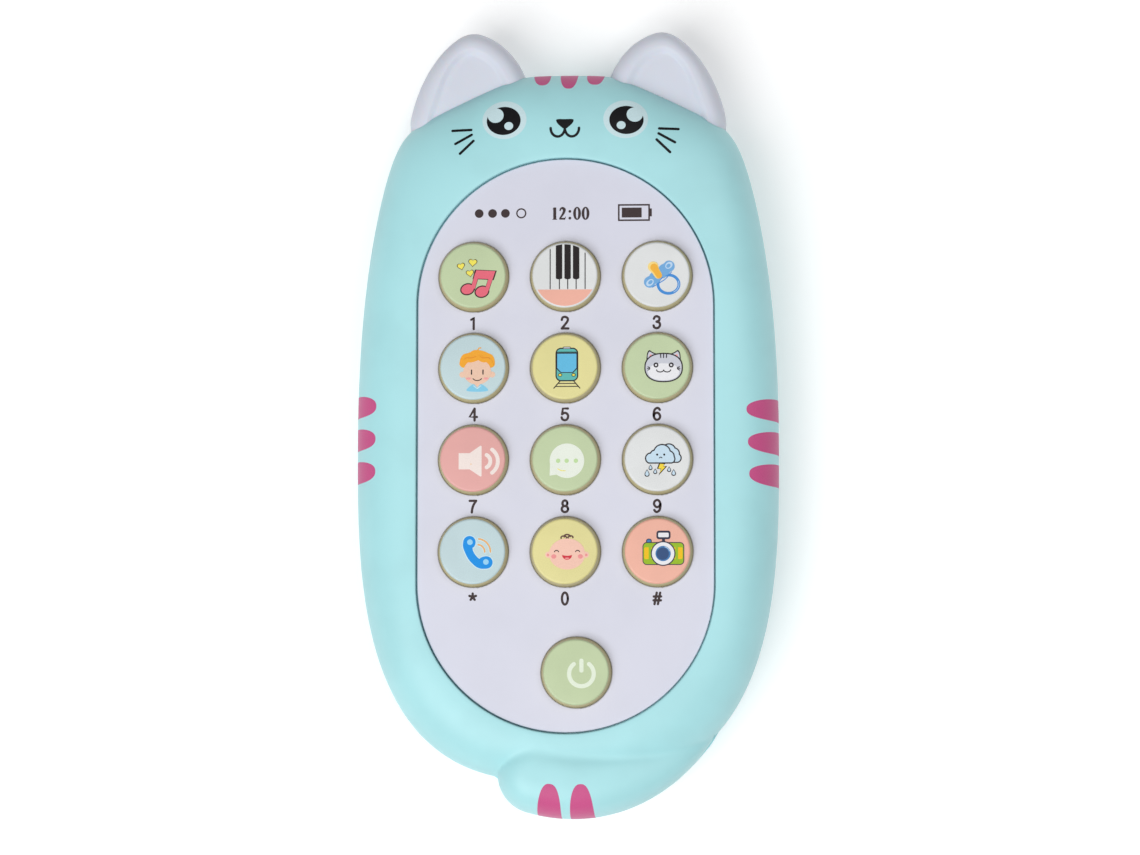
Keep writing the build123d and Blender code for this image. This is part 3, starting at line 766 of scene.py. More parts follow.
def eye(side):
    """A pale ring, a pupil, a large highlight on the outer side and a small one on the inner."""
    x, y = side * 12.3, 62.2
    return [
        (1, "halo", disc(x - side * 0.05, y + 0.15, 4.5, 4.05, count=64, columns=12)),
        (2, "black", disc(x + side * 0.1, y - 0.05, 3.45, 3.0, count=64, columns=10)),
        (3, "halo", disc(x + side * 1.75, y + 1.1, 1.62, 1.56, count=40, columns=6)),
        (3, "halo", disc(x - side * 0.95, y - 1.2, 0.9, 0.84, count=32, columns=4)),
    ]


def whiskers(side):
    """Three short lines that fan out from the cheek."""
    lines = [
        ((19.0, 59.65), (22.85, 59.62)), ((18.88, 58.6), (22.17, 56.77)),
        ((18.49, 57.3), (21.19, 54.68)),
    ]
    made = []
    for near, far in lines:
        path = (np.linspace(near, far, 12) + (0, 0.75)) * (side, 1)
        made.append((1, "black", pen(path, 0.52, columns=3)))
    return made


def smile(side):
    """Half an ellipse on each side, meeting under the nose."""
    path = arc(side * 1.43, 60.45, 1.43, -180 if side > 0 else 0, 0 if side > 0 else -180, 1.75)
    return [(1, "black", pen(path, 0.52, columns=3))]


nose = blot(
    [(-1.75, 62.15), (-1.2, 62.33), (0, 62.3), (1.2, 62.33), (1.75, 62.15), (1.5, 61.45), (0.5, 60.5),
     (0, 60.35), (-0.5, 60.5), (-1.5, 61.45)], (0, 61.5), columns=5,
)
face_marks = [*both(eye), *both(whiskers), *both(smile), (1, "black", nose)]
picture("cat_face", face_marks, on_shell, (FACE_X, ARTWORK_Y), "housing")
print("face marks:", len(face_marks))

# %% [markdown]
# ## The stripes
# Each stripe is a tongue that runs from a rounded tip on the shell's top down to the parting line.
# The wall is upright there, so a plan of it would be squeezed to a line. The tongues are made in
# the shell's own two directions instead: the turn round the body, and the share of the way in.

# %% Stripes
def stripe(x, y, half_width, depth):
    """Rows run from the parting line to the tip, narrowing as a superellipse does."""
    power = 2.5
    bend = np.linspace(0, math.pi / 2, 22)
    turn_middle = math.atan2(y + ARTWORK_Y - BODY_MIDDLE_Y, x)
    edge = outline_reach(np.array([turn_middle]))[0]
    hole = opening_reach(np.array([turn_middle]))[0]
    on_side = abs(math.cos(turn_middle)) > 0.7
    level_shift = math.tan(turn_middle) * (edge - hole) / edge if on_side else 0
    tip = depth / (edge - hole)
    rise = math.acos((1 - tip) ** (EDGE_POWER / 2)) * np.sin(bend)
    share = 1 - np.cos(rise) ** (2 / EDGE_POWER)
    narrow = (1 - (share / tip).clip(0, 1) ** power) ** (1 / power)
    across = np.linspace(-1, 1, 15)
    turn = turn_middle + level_shift * share[:, None] + half_width / edge * narrow[:, None] * across
    return shell_plan(turn, share[:, None])


def stripe_film(plan):
    """The tongue's closed film: its outer face, and a second face sunk in the shell."""
    top, under = on_wall(plan, LAYER), on_wall(plan[:, ::-1], SUNK)
    return skin(np.concatenate([top, under], axis=1), wrap_columns=True)


def on_wall(plan, lift):
    """Lifts a patch of the shell along its own normals, from the cross product of its lines."""
    points = at_height(plan, shell_height(plan))
    down, along = np.gradient(points, axis=0), np.gradient(points, axis=1)
    away = np.cross(down, along)
    size = np.linalg.norm(away, axis=-1)[..., None]
    size[size < 1e-12] = 1
    away /= size
    away[-1] = away[-2].mean(0)
    middle = points.mean((0, 1)) - (0, BODY_MIDDLE_Y, 0)
    side = np.sign((away * (middle[0], middle[1], 30.0)).sum(-1))[..., None]
    return points + away * side * lift


# Each stripe is the direction of its middle, its half width at the edge, and its length.
stripes = {
    "head_stripes": [(-5.0, 72.8, 1.75, 3.0), (0.5, 72.8, 1.8, 3.9), (5.9, 72.8, 1.8, 2.9)],
    "left_stripes": [(-42, 4.4, 2.2, 4.65), (-42, -2.1, 2.25, 4.5), (-42, -8.6, 2.25, 4.5)],
    "right_stripes": [(42, 3.5, 2.25, 6.6), (42, -3.0, 2.3, 6.3), (42, -9.4, 2.3, 6.1)],
    "tail_stripes": [(-3.4, -78.2, 2.45, 7.0), (3.3, -78.4, 2.45, 7.2)],
}
for name, tongues in stripes.items():
    skins = [stripe_film(stripe(*tongue)) for tongue in tongues]
    marks = make_piece(name, skins, "housing", [ink("magenta")])
    print(name, len(marks.data.polygons), "faces")

# %% [markdown]
# ## The plate's print
# The plate carries a status row, as on any telephone, and a digit or sign under each key. The row
# is dots, a ring, a clock reading and a battery drawn with the same film. The digits are pen lines
# through a few points, in the plain even face of any keypad, and the clock's have thick and thin
# strokes.

# %% Status row
STATUS_Y = 43.25
status = [(1, "plate_ink", disc(x, STATUS_Y, 0.88)) for x in (-17.4, -14.7, -12.1)]
status.append((1, "plate_ink", ring(-8.9, STATUS_Y, 1.03, 1.03, 0.28)))
cell = np.array([(10.75, -1.55), (16.85, -1.55), (16.85, 1.55), (10.75, 1.55)]) + (0, STATUS_Y)
for (x1, y1), (x2, y2) in zip(cell, np.roll(cell, -1, 0)):
    ends = np.array([(x1, y1), (x2, y2)])
    along = (ends[1] - ends[0]) / np.linalg.norm(ends[1] - ends[0]) * 0.16
    side = np.array([-along[1], along[0]])
    edge = np.array([ends[0] - along, ends[1] + along])
    status.append((1, "plate_ink", film(edge + side, edge - side, closed=False)))
status.append((1, "plate_ink", box(11.35, 15.35, STATUS_Y - 1.0, STATUS_Y + 1.0, 0.05)))
status.append((1, "plate_ink", box(16.95, 17.4, STATUS_Y - 0.8, STATUS_Y + 0.8, 0.05)))


def clock(x, y):
    """12:00 in a bold face with serifs, drawn from curves; each digit is 2.5 mm tall."""
    high, low = y + 1.25, y - 1.25
    marks = []

    def zero(middle):
        turn = np.linspace(0, TAU, 48, endpoint=False)
        round_ = np.stack([np.cos(turn), np.sin(turn)], -1)
        marks.append(film(round_ * (0.78, 1.32) + (middle, y), round_ * (0.23, 1.08) + (middle, y)))

    one = x - 3.1
    marks.append(box(one - 0.3, one + 0.3, low + 0.1, high - 0.02, 0.05))
    marks.append(pen([(one - 0.42, low + 0.06), (one + 0.42, low + 0.06)], 0.13))
    flag = [(-0.5, -0.36), (0.18, 0), (0.18, -0.2), (-0.1, -0.4)]
    marks.append(blot(np.array(flag) + (one, high), soft=False))
    two = x - 1.55
    hook = [
        (two - 0.46, high - 0.62), (two - 0.34, high - 0.28), (two, high - 0.16),
        (two + 0.36, high - 0.42), (two + 0.3, high - 0.95), (two - 0.1, y - 0.42),
        (two - 0.5, low + 0.28),
    ]
    path = curve(hook)
    share = np.linspace(0, 1, len(path))
    marks.append(pen(path, np.interp(share, [0, 0.2, 0.5, 1], [0.28, 0.34, 0.62, 0.28])))
    marks.append(box(two - 0.62, two + 0.56, low, low + 0.36, 0.06))
    serif = [(0.4, 0.3), (0.56, 0.05), (0.7, 0.62), (0.62, 0.62)]
    marks.append(blot(np.array(serif) + (two, low), soft=False))
    for lift in (0.42, -0.95):
        marks.append(disc(x - 0.05, y + lift, 0.28, count=20))
    zero(x + 1.4)
    zero(x + 3.1)
    return [(1, "plate_ink", mark) for mark in marks]


status += clock(0.95, STATUS_Y - 0.1)
on_plate = level(PLATE_TOP)
picture("status_row", status, on_plate, (0, ARTWORK_Y), "housing")

# %% Digits and signs
LABEL_DROP = 9.35
LABEL_SIZE = 1.13
LABEL_LINE = 0.48
nine_turns = [
    (0.5, 0.72), (0.3, 0.98), (0.0, 1.05), (-0.4, 0.75), (-0.57, 0.1), (-0.54, -0.5), (-0.3, -0.93),
    (0.05, -1.05), (0.44, -0.8), (0.55, -0.35), (0.3, 0.08), (-0.05, 0.2), (-0.42, -0.02),
    (-0.54, -0.35),
]
SIGNS = {
    "1": [[(-0.36, 0.62), (0.08, 1.05), (0.08, -1.05)]],
    "2": [
        curve([(-0.55, 0.5), (-0.42, 0.9), (0.0, 1.05), (0.48, 0.8), (0.46, 0.3), (0.0, -0.35),
               (-0.56, -1.03)]),
        [(-0.56, -1.03), (0.6, -1.03)],
    ],
    "3": [
        curve([(-0.52, 0.62), (-0.32, 0.97), (0.05, 1.05), (0.45, 0.8), (0.38, 0.3), (-0.05, 0.1)]),
        curve([(-0.05, 0.1), (0.45, -0.1), (0.56, -0.55), (0.3, -0.96), (-0.1, -1.05),
               (-0.46, -0.88), (-0.58, -0.58)]),
    ],
    "4": [[(0.27, 1.05), (-0.62, -0.42), (0.68, -0.42)], [(0.27, 1.0), (0.27, -1.05)]],
    "5": [
        [(0.52, 1.02), (-0.36, 1.02), (-0.5, 0.0)],
        curve([(-0.5, 0.0), (-0.1, 0.24), (0.35, 0.12), (0.57, -0.35), (0.4, -0.86), (0.0, -1.05),
               (-0.42, -0.9), (-0.58, -0.55)]),
    ],
    "6": [curve(nine_turns)],
    "7": [[(-0.56, 1.0), (0.58, 1.0)], curve([(0.58, 1.0), (0.14, 0.3), (-0.1, -0.4), (-0.18, -1.05)])],
    "8": [arc(0, 0.52, 0.43, 0, 360, 0.5, 25), arc(0, -0.5, 0.56, 0, 360, 0.54, 25)],
    "9": [curve([(-x, -y) for x, y in nine_turns])],
    "0": [arc(0, 0, 0.52, 0, 360, 1.05, 33)],
    "star": [
        [(0, 0.3), (0.6 * math.cos(a), 0.3 + 0.6 * math.sin(a))]
        for a in np.radians([90, 162, 234, 306, 18])
    ],
    "hash": [
        [(-0.5, -1.0), (-0.1, 1.0)], [(0.1, -1.0), (0.5, 1.0)],
        [(-0.62, 0.34), (0.66, 0.34)], [(-0.66, -0.34), (0.62, -0.34)],
    ],
}
for key, lines in SIGNS.items():
    x, y = key_middle("key_" + key)
    marks = [(1, "plate_ink", pen(np.array(line) * LABEL_SIZE, LABEL_LINE)) for line in lines]
    picture("label_" + key, marks, on_plate, (x - 0.1, y - LABEL_DROP), "housing")
print("labels:", len(SIGNS))

# %% [markdown]
# ## The pictures on the keys
# Each key has its own little picture, printed a shade to the right of its middle, in flat inks
# with a dark outline. They are plain generic pictures: a note with hearts, piano keys, a dummy, a
# boy, a tram, a kitten, a loudspeaker, a speech bubble, a rain cloud, a handset, a baby and a
# camera. Sizes are in millimetres from the middle of the cap. A dark mark laid first and a
# slightly smaller coloured one a layer higher leave an even outline.

# %% Helpers for pictures
OUTLINE = 0.18


def outlined(layer, colour, make, line="line", width=OUTLINE):
    """The same shape twice: dark and grown by the outline, then coloured and shrunk by it."""
    return [(layer, line, make(width)), (layer + 1, colour, make(-width * 0.4))]


def heart(x, y, size, tilt):
    """The classic heart curve, of sines and cosines of up to four turns."""
    t = np.linspace(0, TAU, 40, endpoint=False)
    wide = 16 * np.sin(t) ** 3
    tall = 13 * np.cos(t) - 5 * np.cos(2 * t) - 2 * np.cos(3 * t) - np.cos(4 * t)
    edge = np.stack([wide, tall], -1) / 16 @ twist(tilt)
    return lambda grow: film(edge * (size + grow) + (x, y), (x, y))


def oval(x, y, wide, tall=None, tilt=0.0):
    return lambda grow: disc(x, y, wide + grow, (tall or wide) + grow, tilt)


def oblong(left, right, low, high, corner):
    return lambda grow: box(left - grow, right + grow, low - grow, high + grow, corner + grow)


def puffs(middle, circles, base=None):
    """A cloud: circles joined as their far side seen from a middle, over a level base if given."""
    circles = np.array(circles, float)

    def make(grow):
        turn = np.linspace(0, TAU, 120, endpoint=False)
        reach = across_circles(turn, circles[:, :2] - middle, circles[:, 2] + grow)
        if base is not None:
            drop_share = np.maximum(-np.sin(turn), 1e-6)
            reach = np.minimum(reach, (middle[1] - base + grow) / drop_share)
        edge = np.stack([np.cos(turn), np.sin(turn)], -1) * reach[:, None] + middle
        return film(edge, middle)
    return make


def slab(*corners):
    """A straight-sided shape, grown about its middle."""
    edge = np.array(corners, float)
    middle = edge.mean(0)
    size = np.linalg.norm(edge - middle, axis=-1)[:, None]
    return lambda grow: film(middle + (edge - middle) * (1 + 1.3 * grow / size), middle)


def scaled(layer, colour, edge, middle, factor):
    """A straight-sided mark, larger or smaller than its outline about a middle."""
    edge = (np.array(edge) - middle) * factor + middle
    return layer, colour, film(edge, middle)


def drop(x, y, wide, tall):
    """A teardrop: round below, pointed above."""
    t = np.linspace(0, TAU, 28, endpoint=False)

    def make(grow):
        w, h = wide + grow, tall + grow
        edge = np.stack([w * np.sin(t) * np.sin(t / 2) ** 1.3 * 1.25, h * np.cos(t)], -1)
        return film(edge + (x, y), (x, y - tall * 0.3))
    return make


# %% Pictures, first row
def note_picture():
    """Two note heads, their stems and a beam, with three small hearts."""
    parts = [
        oval(-1.1, -2.74, 1.3, 1.02, 15), oval(1.8, -3.26, 1.32, 1.05, 15),
        slab((-0.5, -2.7), (0.38, -2.7), (1.35, 0.6), (0.45, 0.6)),
        slab((2.25, -3.2), (3.1, -3.2), (4.35, 0.4), (3.45, 0.4)),
        slab((0.15, -0.6), (3.95, -0.8), (4.55, 0.9), (0.6, 1.1)),
    ]
    marks = [(1, "outline", part(0.2)) for part in parts]
    marks += [(2, "note_pink", part(-0.05)) for part in parts]
    for x, y, size, tilt in ((-2.4, 1.9, 0.72, 14), (-0.05, 2.65, 0.8, -4), (-0.6, 0.5, 0.72, 10)):
        marks += outlined(3, "heart", heart(x, y, size, tilt), "outline", 0.1)
    return marks


def piano_picture():
    """Three black keys that run off the top of the cap, thin gaps, and a peach band below."""
    edge = 6.2
    low = -2.9
    side = math.degrees(math.asin(low / edge))
    under = arc(0, 0, edge, -180 - side, side, count=40)
    chord = np.stack([under[:, 0], np.full(len(under), low)], -1)
    marks = [(1, "peach", film(under, chord, closed=False))]
    for x in (-2.95, -1.1, 0.57, 2.26, 4.06):
        top = math.sqrt(edge**2 - x**2) - 0.25
        marks.append((1, "line", pen([(x, low + 0.15), (x, top)], 0.2)))
    for x in (-1.17, 0.55, 2.26):
        across = np.linspace(-0.64, 0.64, 13)
        top = np.sqrt(edge**2 - (x + across) ** 2)
        foot = -0.55 - 0.3 * np.sqrt(1 - (across / 0.66) ** 2)
        key = film(np.stack([x + across, top], -1), np.stack([x + across, foot], -1), closed=False)
        marks.append((2, "piano", key))
    return marks


def dummy_picture():
    """A baby's dummy seen aslant: teat, winged shield and a ring to pull it by."""
    wings = puffs(
        (0.45, 0.05),
        [(-1.45, -1.5, 1.15), (-0.4, -0.65, 1.2), (0.5, 0.1, 1.3), (1.5, 0.95, 1.2), (2.4, 1.65, 1.15)],
    )
    pull = arc(2.3, -1.95, 2.1, 0, 360, 1.85, 40)[:-1]
    teat = curve([(0.25, -0.1), (-0.25, 0.7), (-0.75, 1.55)])
    place = np.arange(len(teat))
    outer, inner = (np.interp(place, [0, 8, 16], wide) for wide in ([1.5, 1.6, 2.15], [1.2, 1.2, 1.5]))
    return [
        (1, "pull", pen(pull, 0.58, closed=True)),
        (2, "shield_pale", pen(arc(2.3, -1.95, 2.1, -60, 20, 1.85), 0.12)),
        (3, "shield", wings(0)),
        (4, "shield_pale", disc(-1.4, -1.62, 0.85, 0.6, 40)),
        (4, "shield_pale", disc(2.4, 1.85, 0.8, 0.62, 40)),
        (5, "shield", disc(-1.3, -1.55, 0.5, 0.34, 40)),
        (5, "shield", disc(2.3, 1.75, 0.48, 0.36, 40)),
        (5, "pull", pen(curve([(-0.9, -2.55), (0.4, -1.75), (1.7, -0.9), (2.9, 0.5)]), 0.16)),
        (5, "teat_pale", pen(teat, outer)),
        (6, "teat", pen(teat + (0.18, -0.1), inner)),
    ]


# %% Pictures, second row
def boy_picture():
    """A boy's head on plain round proportions, with a mop of hair and a shirt collar."""
    x, y = 0.9, -0.95
    shirt = [
        (-2.1, -4.75), (-1.7, -4.0), (-0.7, -3.4), (0.7, -3.4), (1.7, -4.0), (2.1, -4.75), (0, -4.95),
    ]
    marks = [(1, "shirt", blot(np.array(shirt) + (x, 0)))]
    marks += [(2, "halo", pen([(x, -4.3), (x + side * 0.7, -3.75)], 0.16)) for side in (-1, 1)]
    marks.append((3, "face", blot([(x - 0.8, -3.2), (x + 0.8, -3.2), (x, -4.1)], soft=False)))
    marks += [(1, "face", disc(x + side * 3.0, y - 0.55, 0.6)) for side in (-1, 1)]
    mop = [
        (-3.2, 0.1), (-3.5, 1.3), (-2.9, 2.5), (-1.7, 2.9), (-0.5, 3.45), (1.0, 3.3), (2.1, 2.85),
        (3.1, 2.3), (3.5, 1.1), (3.1, 0.0), (0, -0.6),
    ]
    marks.append((2, "hair", blot(np.array(mop) + (x, 0), (x, 1.2))))
    marks.append((2, "hair", pen(curve([(x, 3.2), (x + 0.3, 3.8), (x + 0.7, 3.85)]), 0.22)))
    marks.append((4, "face", disc(x, y, 2.8, 2.55)))
    for side, end in ((-1, 0.6), (1, 0.1)):
        fringe = [(side * 2.9, 0.35), (side * 2.35, 1.35), (side * 1.1, 1.4), (end, 2.0)]
        lock = curve(np.array(fringe) + (x, 0))
        marks.append((5, "hair", pen(lock, 0.85)))
        marks.append((6, "hair_deep", pen(lock[6:-4] + (0, 0.45), 0.12)))
    for eye_x in (x - 1.15, x + 1.15):
        marks.append((5, "line", pen([(eye_x, y + 0.35), (eye_x, y - 0.45)], 0.24)))
    marks += [(5, "blush", disc(x + side * 1.75, y - 1.35, 0.5, 0.22)) for side in (-1, 1)]
    marks.append((5, "line", pen(arc(x, y - 1.15, 0.9, -160, -20, 0.6), 0.17)))
    return marks


def tram_picture():
    """The front of a tram on its rails."""
    marks = outlined(1, "teal", oblong(-1.7, 2.5, -2.75, 3.65, 0.95), "line")
    marks += outlined(1, "fur_grey", oblong(-0.3, 1.1, 3.65, 3.95, 0.12), "line", 0.09)
    glass = np.array([
        (-1.55, 2.65), (2.35, 2.65), (2.35, -0.3), (1.55, -1.1), (-0.75, -1.1), (-1.55, -0.3),
    ])
    for layer, colour, factor in ((3, "line", 1.09), (4, "window", 0.985)):
        marks.append(scaled(layer, colour, glass, glass.mean(0), factor))
    marks.append((4, "line", pen([(-1.6, 2.95), (2.4, 2.95)], 0.12)))
    for x, side in ((-0.75, -1), (1.55, 1)):
        marks.append((4, "line", pen([(x, -1.2), (x + side * 0.75, -0.35)], 0.12)))
    for x in (-0.95, 1.75):
        marks += outlined(3, "heart", oval(x, -1.65, 0.32, 0.24), "line", 0.1)
    for near, far in (((-1.0, -2.9), (-2.2, -4.3)), ((1.8, -2.9), (3.0, -4.3))):
        marks.append((1, "line", pen([near, far], 0.2)))
    for left, right, y in ((-1.35, 2.15, -3.35), (-1.9, 2.7, -3.95)):
        marks.append((1, "line", pen([(left, y), (right, y)], 0.17)))
    return marks


def kitten_picture():
    """A kitten's head: a wide oval with two ears, grey above and pale below."""
    x, y = 1.3, -0.25
    marks = []
    for side in (-1, 1):
        ear = [(3.2, 1.0), (3.25, 2.6), (2.85, 3.35), (2.2, 3.0), (1.1, 2.4), (1.9, 1.3)]
        ear = np.array(ear) * (side, 1) + (x, y)
        middle = np.array((x + side * 2.5, y + 2.2))
        for layer, colour, scale in ((1, "line", 1.12), (2, "fur_grey", 0.86), (3, "blush", 0.42)):
            marks.append((layer, colour, blot((ear - middle) * scale + middle, middle)))
    marks.append((3, "line", disc(x, y, 3.85, 2.95, power=2.35)))
    marks.append((4, "fur_grey", disc(x, y, 3.6, 2.7, power=2.35)))
    marks.append((5, "fur", disc(x, y - 0.85, 3.1, 1.7, power=2.2)))
    for side in (-1, 1):
        marks.append((6, "line", ring(x + side * 1.52, y + 0.5, 0.5, 0.5, 0.28, 28)))
        marks.append((6, "line", pen(arc(x + side * 0.7, y - 0.45, 0.7, -175, -5, 0.45), 0.2)))
        for n in (-1, 0, 1):
            tip = (x + side * (3.25 - 0.1 * abs(n)), y - 0.2 + n * 0.34)
            marks.append((6, "line", pen([(x + side * 2.75, y - 0.15 + n * 0.14), tip], 0.16)))
    for n in (-1, 0, 1):
        marks.append((6, "line", pen([(x + n * 0.6, y + 2.6), (x + n * 0.55, y + 2.0)], 0.2)))
    return marks


# %% Pictures, third row
def speaker_picture():
    """A loudspeaker with two arcs of sound."""
    horn = [
        (-2.8, 1.2), (-0.6, 1.2), (1.55, 2.7), (1.8, 2.6), (1.8, -3.4), (1.55, -3.5), (-0.6, -2.05),
        (-2.8, -2.05),
    ]
    marks = [(1, "cream", film(np.array(horn), (0.3, -0.4)))]
    for radius, half in ((1.4, 62), (2.9, 53)):
        marks.append((1, "cream", pen(arc(2.15, -0.42, radius, -half, half), 0.78)))
    marks.append((2, "teat", disc(-0.35, -1.0, 0.1, count=12)))
    return marks


def bubble_picture():
    """A speech bubble with three dots and a small smile."""
    marks = [(1, "bubble", disc(0.42, -0.38, 3.45, count=72))]
    marks.append((2, "bubble", slab((-2.95, -0.9), (-1.3, -3.1), (-3.05, -3.35))(0)))
    marks += [(3, "leaf", disc(x, -0.4, 0.43, count=24)) for x in (-1.35, 0.36, 2.2)]
    marks.append((3, "heart", pen(curve([(-1.45, -2.0), (-0.7, -2.35), (0.1, -2.4)]), 0.14)))
    return marks


def cloud_picture():
    """A sad little rain cloud in front of another, with a bolt of lightning."""
    back = puffs(
        (2.6, 0.3),
        [(2.3, 1.55, 1.3), (3.3, 1.0, 1.05), (3.85, 0.1, 0.85), (3.0, -0.2, 1.0), (2.2, 0, 1)],
        base=-0.72,
    )
    front = puffs(
        (0.7, 0.2),
        [(-1.3, 0.05, 0.98), (-0.5, 0.75, 0.85), (0.95, 1.1, 1.62), (2.3, 0.45, 1.0), (2.65, -0.1, 0.8),
         (1.9, -0.3, 1.1), (0.6, -0.5, 1.2), (-0.6, -0.3, 1.1)],
        base=-0.85,
    )
    marks = [*outlined(1, "cloud", back), *outlined(3, "cloud", front)]
    marks += [(5, "black", disc(x, 0.77, 0.21, count=20)) for x in (-0.02, 1.38)]
    marks.append((5, "black", pen(arc(0.68, 0.0, 0.28, 20, 160, 0.26, 10), 0.16)))
    bolt = [
        (0.5, -0.95), (1.55, -1.05), (1.15, -1.55), (1.75, -1.6), (0.35, -3.1), (0.8, -2.1), (0.1, -2.0),
    ]
    for layer, colour, factor in ((1, "line", 1.24), (2, "bolt", 0.88)):
        marks.append(scaled(layer, colour, bolt, (0.85, -1.8), factor))
    drops = [
        (-2.05, -2.9, 0.42), (-1.35, -1.75, 0.3), (-0.42, -2.55, 0.3), (2.35, -2.15, 0.3),
        (3.25, -2.8, 0.38),
    ]
    for x, y, size in drops:
        marks += outlined(1, "cloud", drop(x, y, size, size * 1.45), "line", 0.13)
    return marks


# %% Pictures, last row
def handset_picture():
    """A telephone handset with two arcs of sound, all with a pale halo."""
    path = curve([(-0.6, 1.85), (-0.85, 0.6), (-0.15, -1.05), (1.2, -2.3), (2.8, -2.2)], steps=10)
    share = np.linspace(0, 1, len(path))
    width = np.interp(share, [0, 0.12, 0.3, 0.7, 0.88, 1], [2.5, 2.4, 1.6, 1.6, 2.4, 2.5])
    width = np.convolve(np.pad(width, 3, "edge"), np.ones(7) / 7, "valid")
    marks = [(1, "halo", pen(path, width + 0.4)), (2, "handset", pen(path, width))]
    marks += [(3, "handset_pale", disc(x, y, 0.56)) for x, y in ((-0.5, 1.85), (2.7, -2.1))]
    for radius in (1.45, 2.6):
        sound = arc(1.0, -0.1, radius, 0, 84)
        marks += [(1, "halo", pen(sound, 0.62)), (2, "signal", pen(sound, 0.34))]
    return marks


def baby_picture():
    """A laughing baby's face on plain round proportions."""
    x, y = 0.45, -0.55
    marks = [(1, "baby", disc(x + side * 3.75, y - 0.15, 0.62)) for side in (-1, 1)]
    marks += [(2, "cheek", disc(x + side * 3.8, y - 0.2, 0.26)) for side in (-1, 1)]
    marks.append((3, "baby", disc(x, y, 3.6, 3.1)))
    for side in (-1, 1):
        marks.append((4, "line", pen(arc(x + side * 2.1, y + 0.35, 0.42, 15, 165, 0.36, 10), 0.18)))
        marks.append((4, "cheek", disc(x + side * 2.65, y - 0.5, 0.5, 0.44)))
    mouth = arc(x, y - 0.2, 0.98, -180, 0, 0.95, 24)
    lid = np.stack([mouth[:, 0], y - 0.2 - 0.16 * (1 - ((mouth[:, 0] - x) / 0.98) ** 2)], -1)
    marks.append((4, "lips", film(mouth, lid, closed=False)))
    marks.append((5, "cheek", disc(x, y - 0.86, 0.45, 0.16)))
    for dx, dy, wide in ((-0.75, 0.1, 0.55), (0.0, 0.35, 0.6), (0.75, 0.15, 0.5)):
        curl = arc(x + dx * 0.9, y + 3.15 + dy, wide, 200, -10, wide * 0.62, 12)
        marks.append((4, "tuft", pen(curl, 0.26)))
    return marks


def camera_picture():
    """A camera with a large round lens and a flash on top."""
    marks = [(1, "slate", box(0.9, 1.5, 1.5, 2.9, 0.1))]
    marks += outlined(1, "lens", oblong(-2.15, -1.25, 1.6, 2.35, 0.35), "slate", 0.12)
    marks += outlined(2, "slate", oblong(-0.1, 2.5, 2.45, 3.95, 0.4), "slate", 0.1)
    marks.append((4, "fur", box(0.15, 2.25, 2.75, 3.65, 0.22)))
    marks += outlined(2, "lime", oblong(-2.85, 5.2, -2.65, 1.65, 0.75), "slate", 0.12)
    marks.append((4, "gold", box(-2.65, 5.0, -1.6, 0.75, 0.3)))
    marks += [(4, "lime", box(x, x + 0.55, -2.4, 1.4, 0.2)) for x in (-1.75, 3.55)]
    marks += outlined(5, "fur", oval(1.12, -0.5, 2.3), "slate", 0.16)
    marks += [(7, "lens", disc(1.12, -0.5, 1.52)), (8, "lens_deep", disc(1.05, -0.55, 1.22))]
    marks.append((9, "shield_pale", pen(arc(1.12, -0.5, 1.38, 20, 75), 0.12)))
    return marks


def power_picture():
    """The usual sign for power: an open ring with a bar in its gap."""
    x, y = 1.1, -0.3
    return [
        (1, "power", pen(arc(x, y, 2.45, 128, 412, count=60), 0.84)),
        (1, "power", pen([(x, y + 0.65), (x, y + 2.6)], 0.84)),
    ]


PICTURES = {
    "key_1": note_picture, "key_2": piano_picture, "key_3": dummy_picture,
    "key_4": boy_picture, "key_5": tram_picture, "key_6": kitten_picture,
    "key_7": speaker_picture, "key_8": bubble_picture, "key_9": cloud_picture,
    "key_star": handset_picture, "key_0": baby_picture, "key_hash": camera_picture,
    "power_button": power_picture,
}
on_cap = level(KEY_TOP)
for slot, names in KEY_SLOTS.items():
    for name in names:
        marks = PICTURES[name]()
        picture(name + "_picture", marks, on_cap, key_middle(name), name)
        print(name, "picture:", len(marks), "marks")

# %% [markdown]
# ## The parts that stay as CAD made them
# The key plate, the back and everything inside keep their CAD shape and take a finish each. Moulded
# parts reuse the satin plastic. Metal is a smooth conductor with uneven gloss and fine scratches
# that run one way, which is what tumbling and plating leave. Rubber is dark or grey with a matt
# bloom, the board is green lacquer over copper tracks, and a battery's jacket has printed bands.

# %% Metal and rubber
def metal(name, colour, rough=0.3, along=(1, 14, 14)):
    """Plated metal: scratches are noise stretched along one axis, and the gloss drifts."""
    s = Shader(name)
    stretched = s.node("ShaderNodeVectorMath", (s.place, along), operation="MULTIPLY")
    scratch = s.node("ShaderNodeTexNoise", {"Vector": stretched, "Scale": 0.8, "Detail": 3.0})
    dull = paler(colour, 0.82)
    s.set(Base_Color=s.mix(s.noise(4.0).between(0.4, 0.7), colour, dull), Metallic=1.0)
    s.set(Roughness=scratch * 0.2 + (rough - 0.1))
    s.bump(scratch, 0.08, 0.00002)
    return s.material


def rubber(name, colour, bloom=0.06):
    """Matt rubber with a pale, cloudy bloom."""
    s = Shader(name)
    pale = paler(colour, 1 - bloom, bloom)
    s.set(Base_Color=s.mix(s.noise(6.0).between(0.4, 0.7), colour, pale))
    s.set(Roughness=s.noise(2.0) * 0.15 + 0.6)
    s.bump(s.noise(0.35, detail=2.0), 0.1, 0.00003)
    return s.material


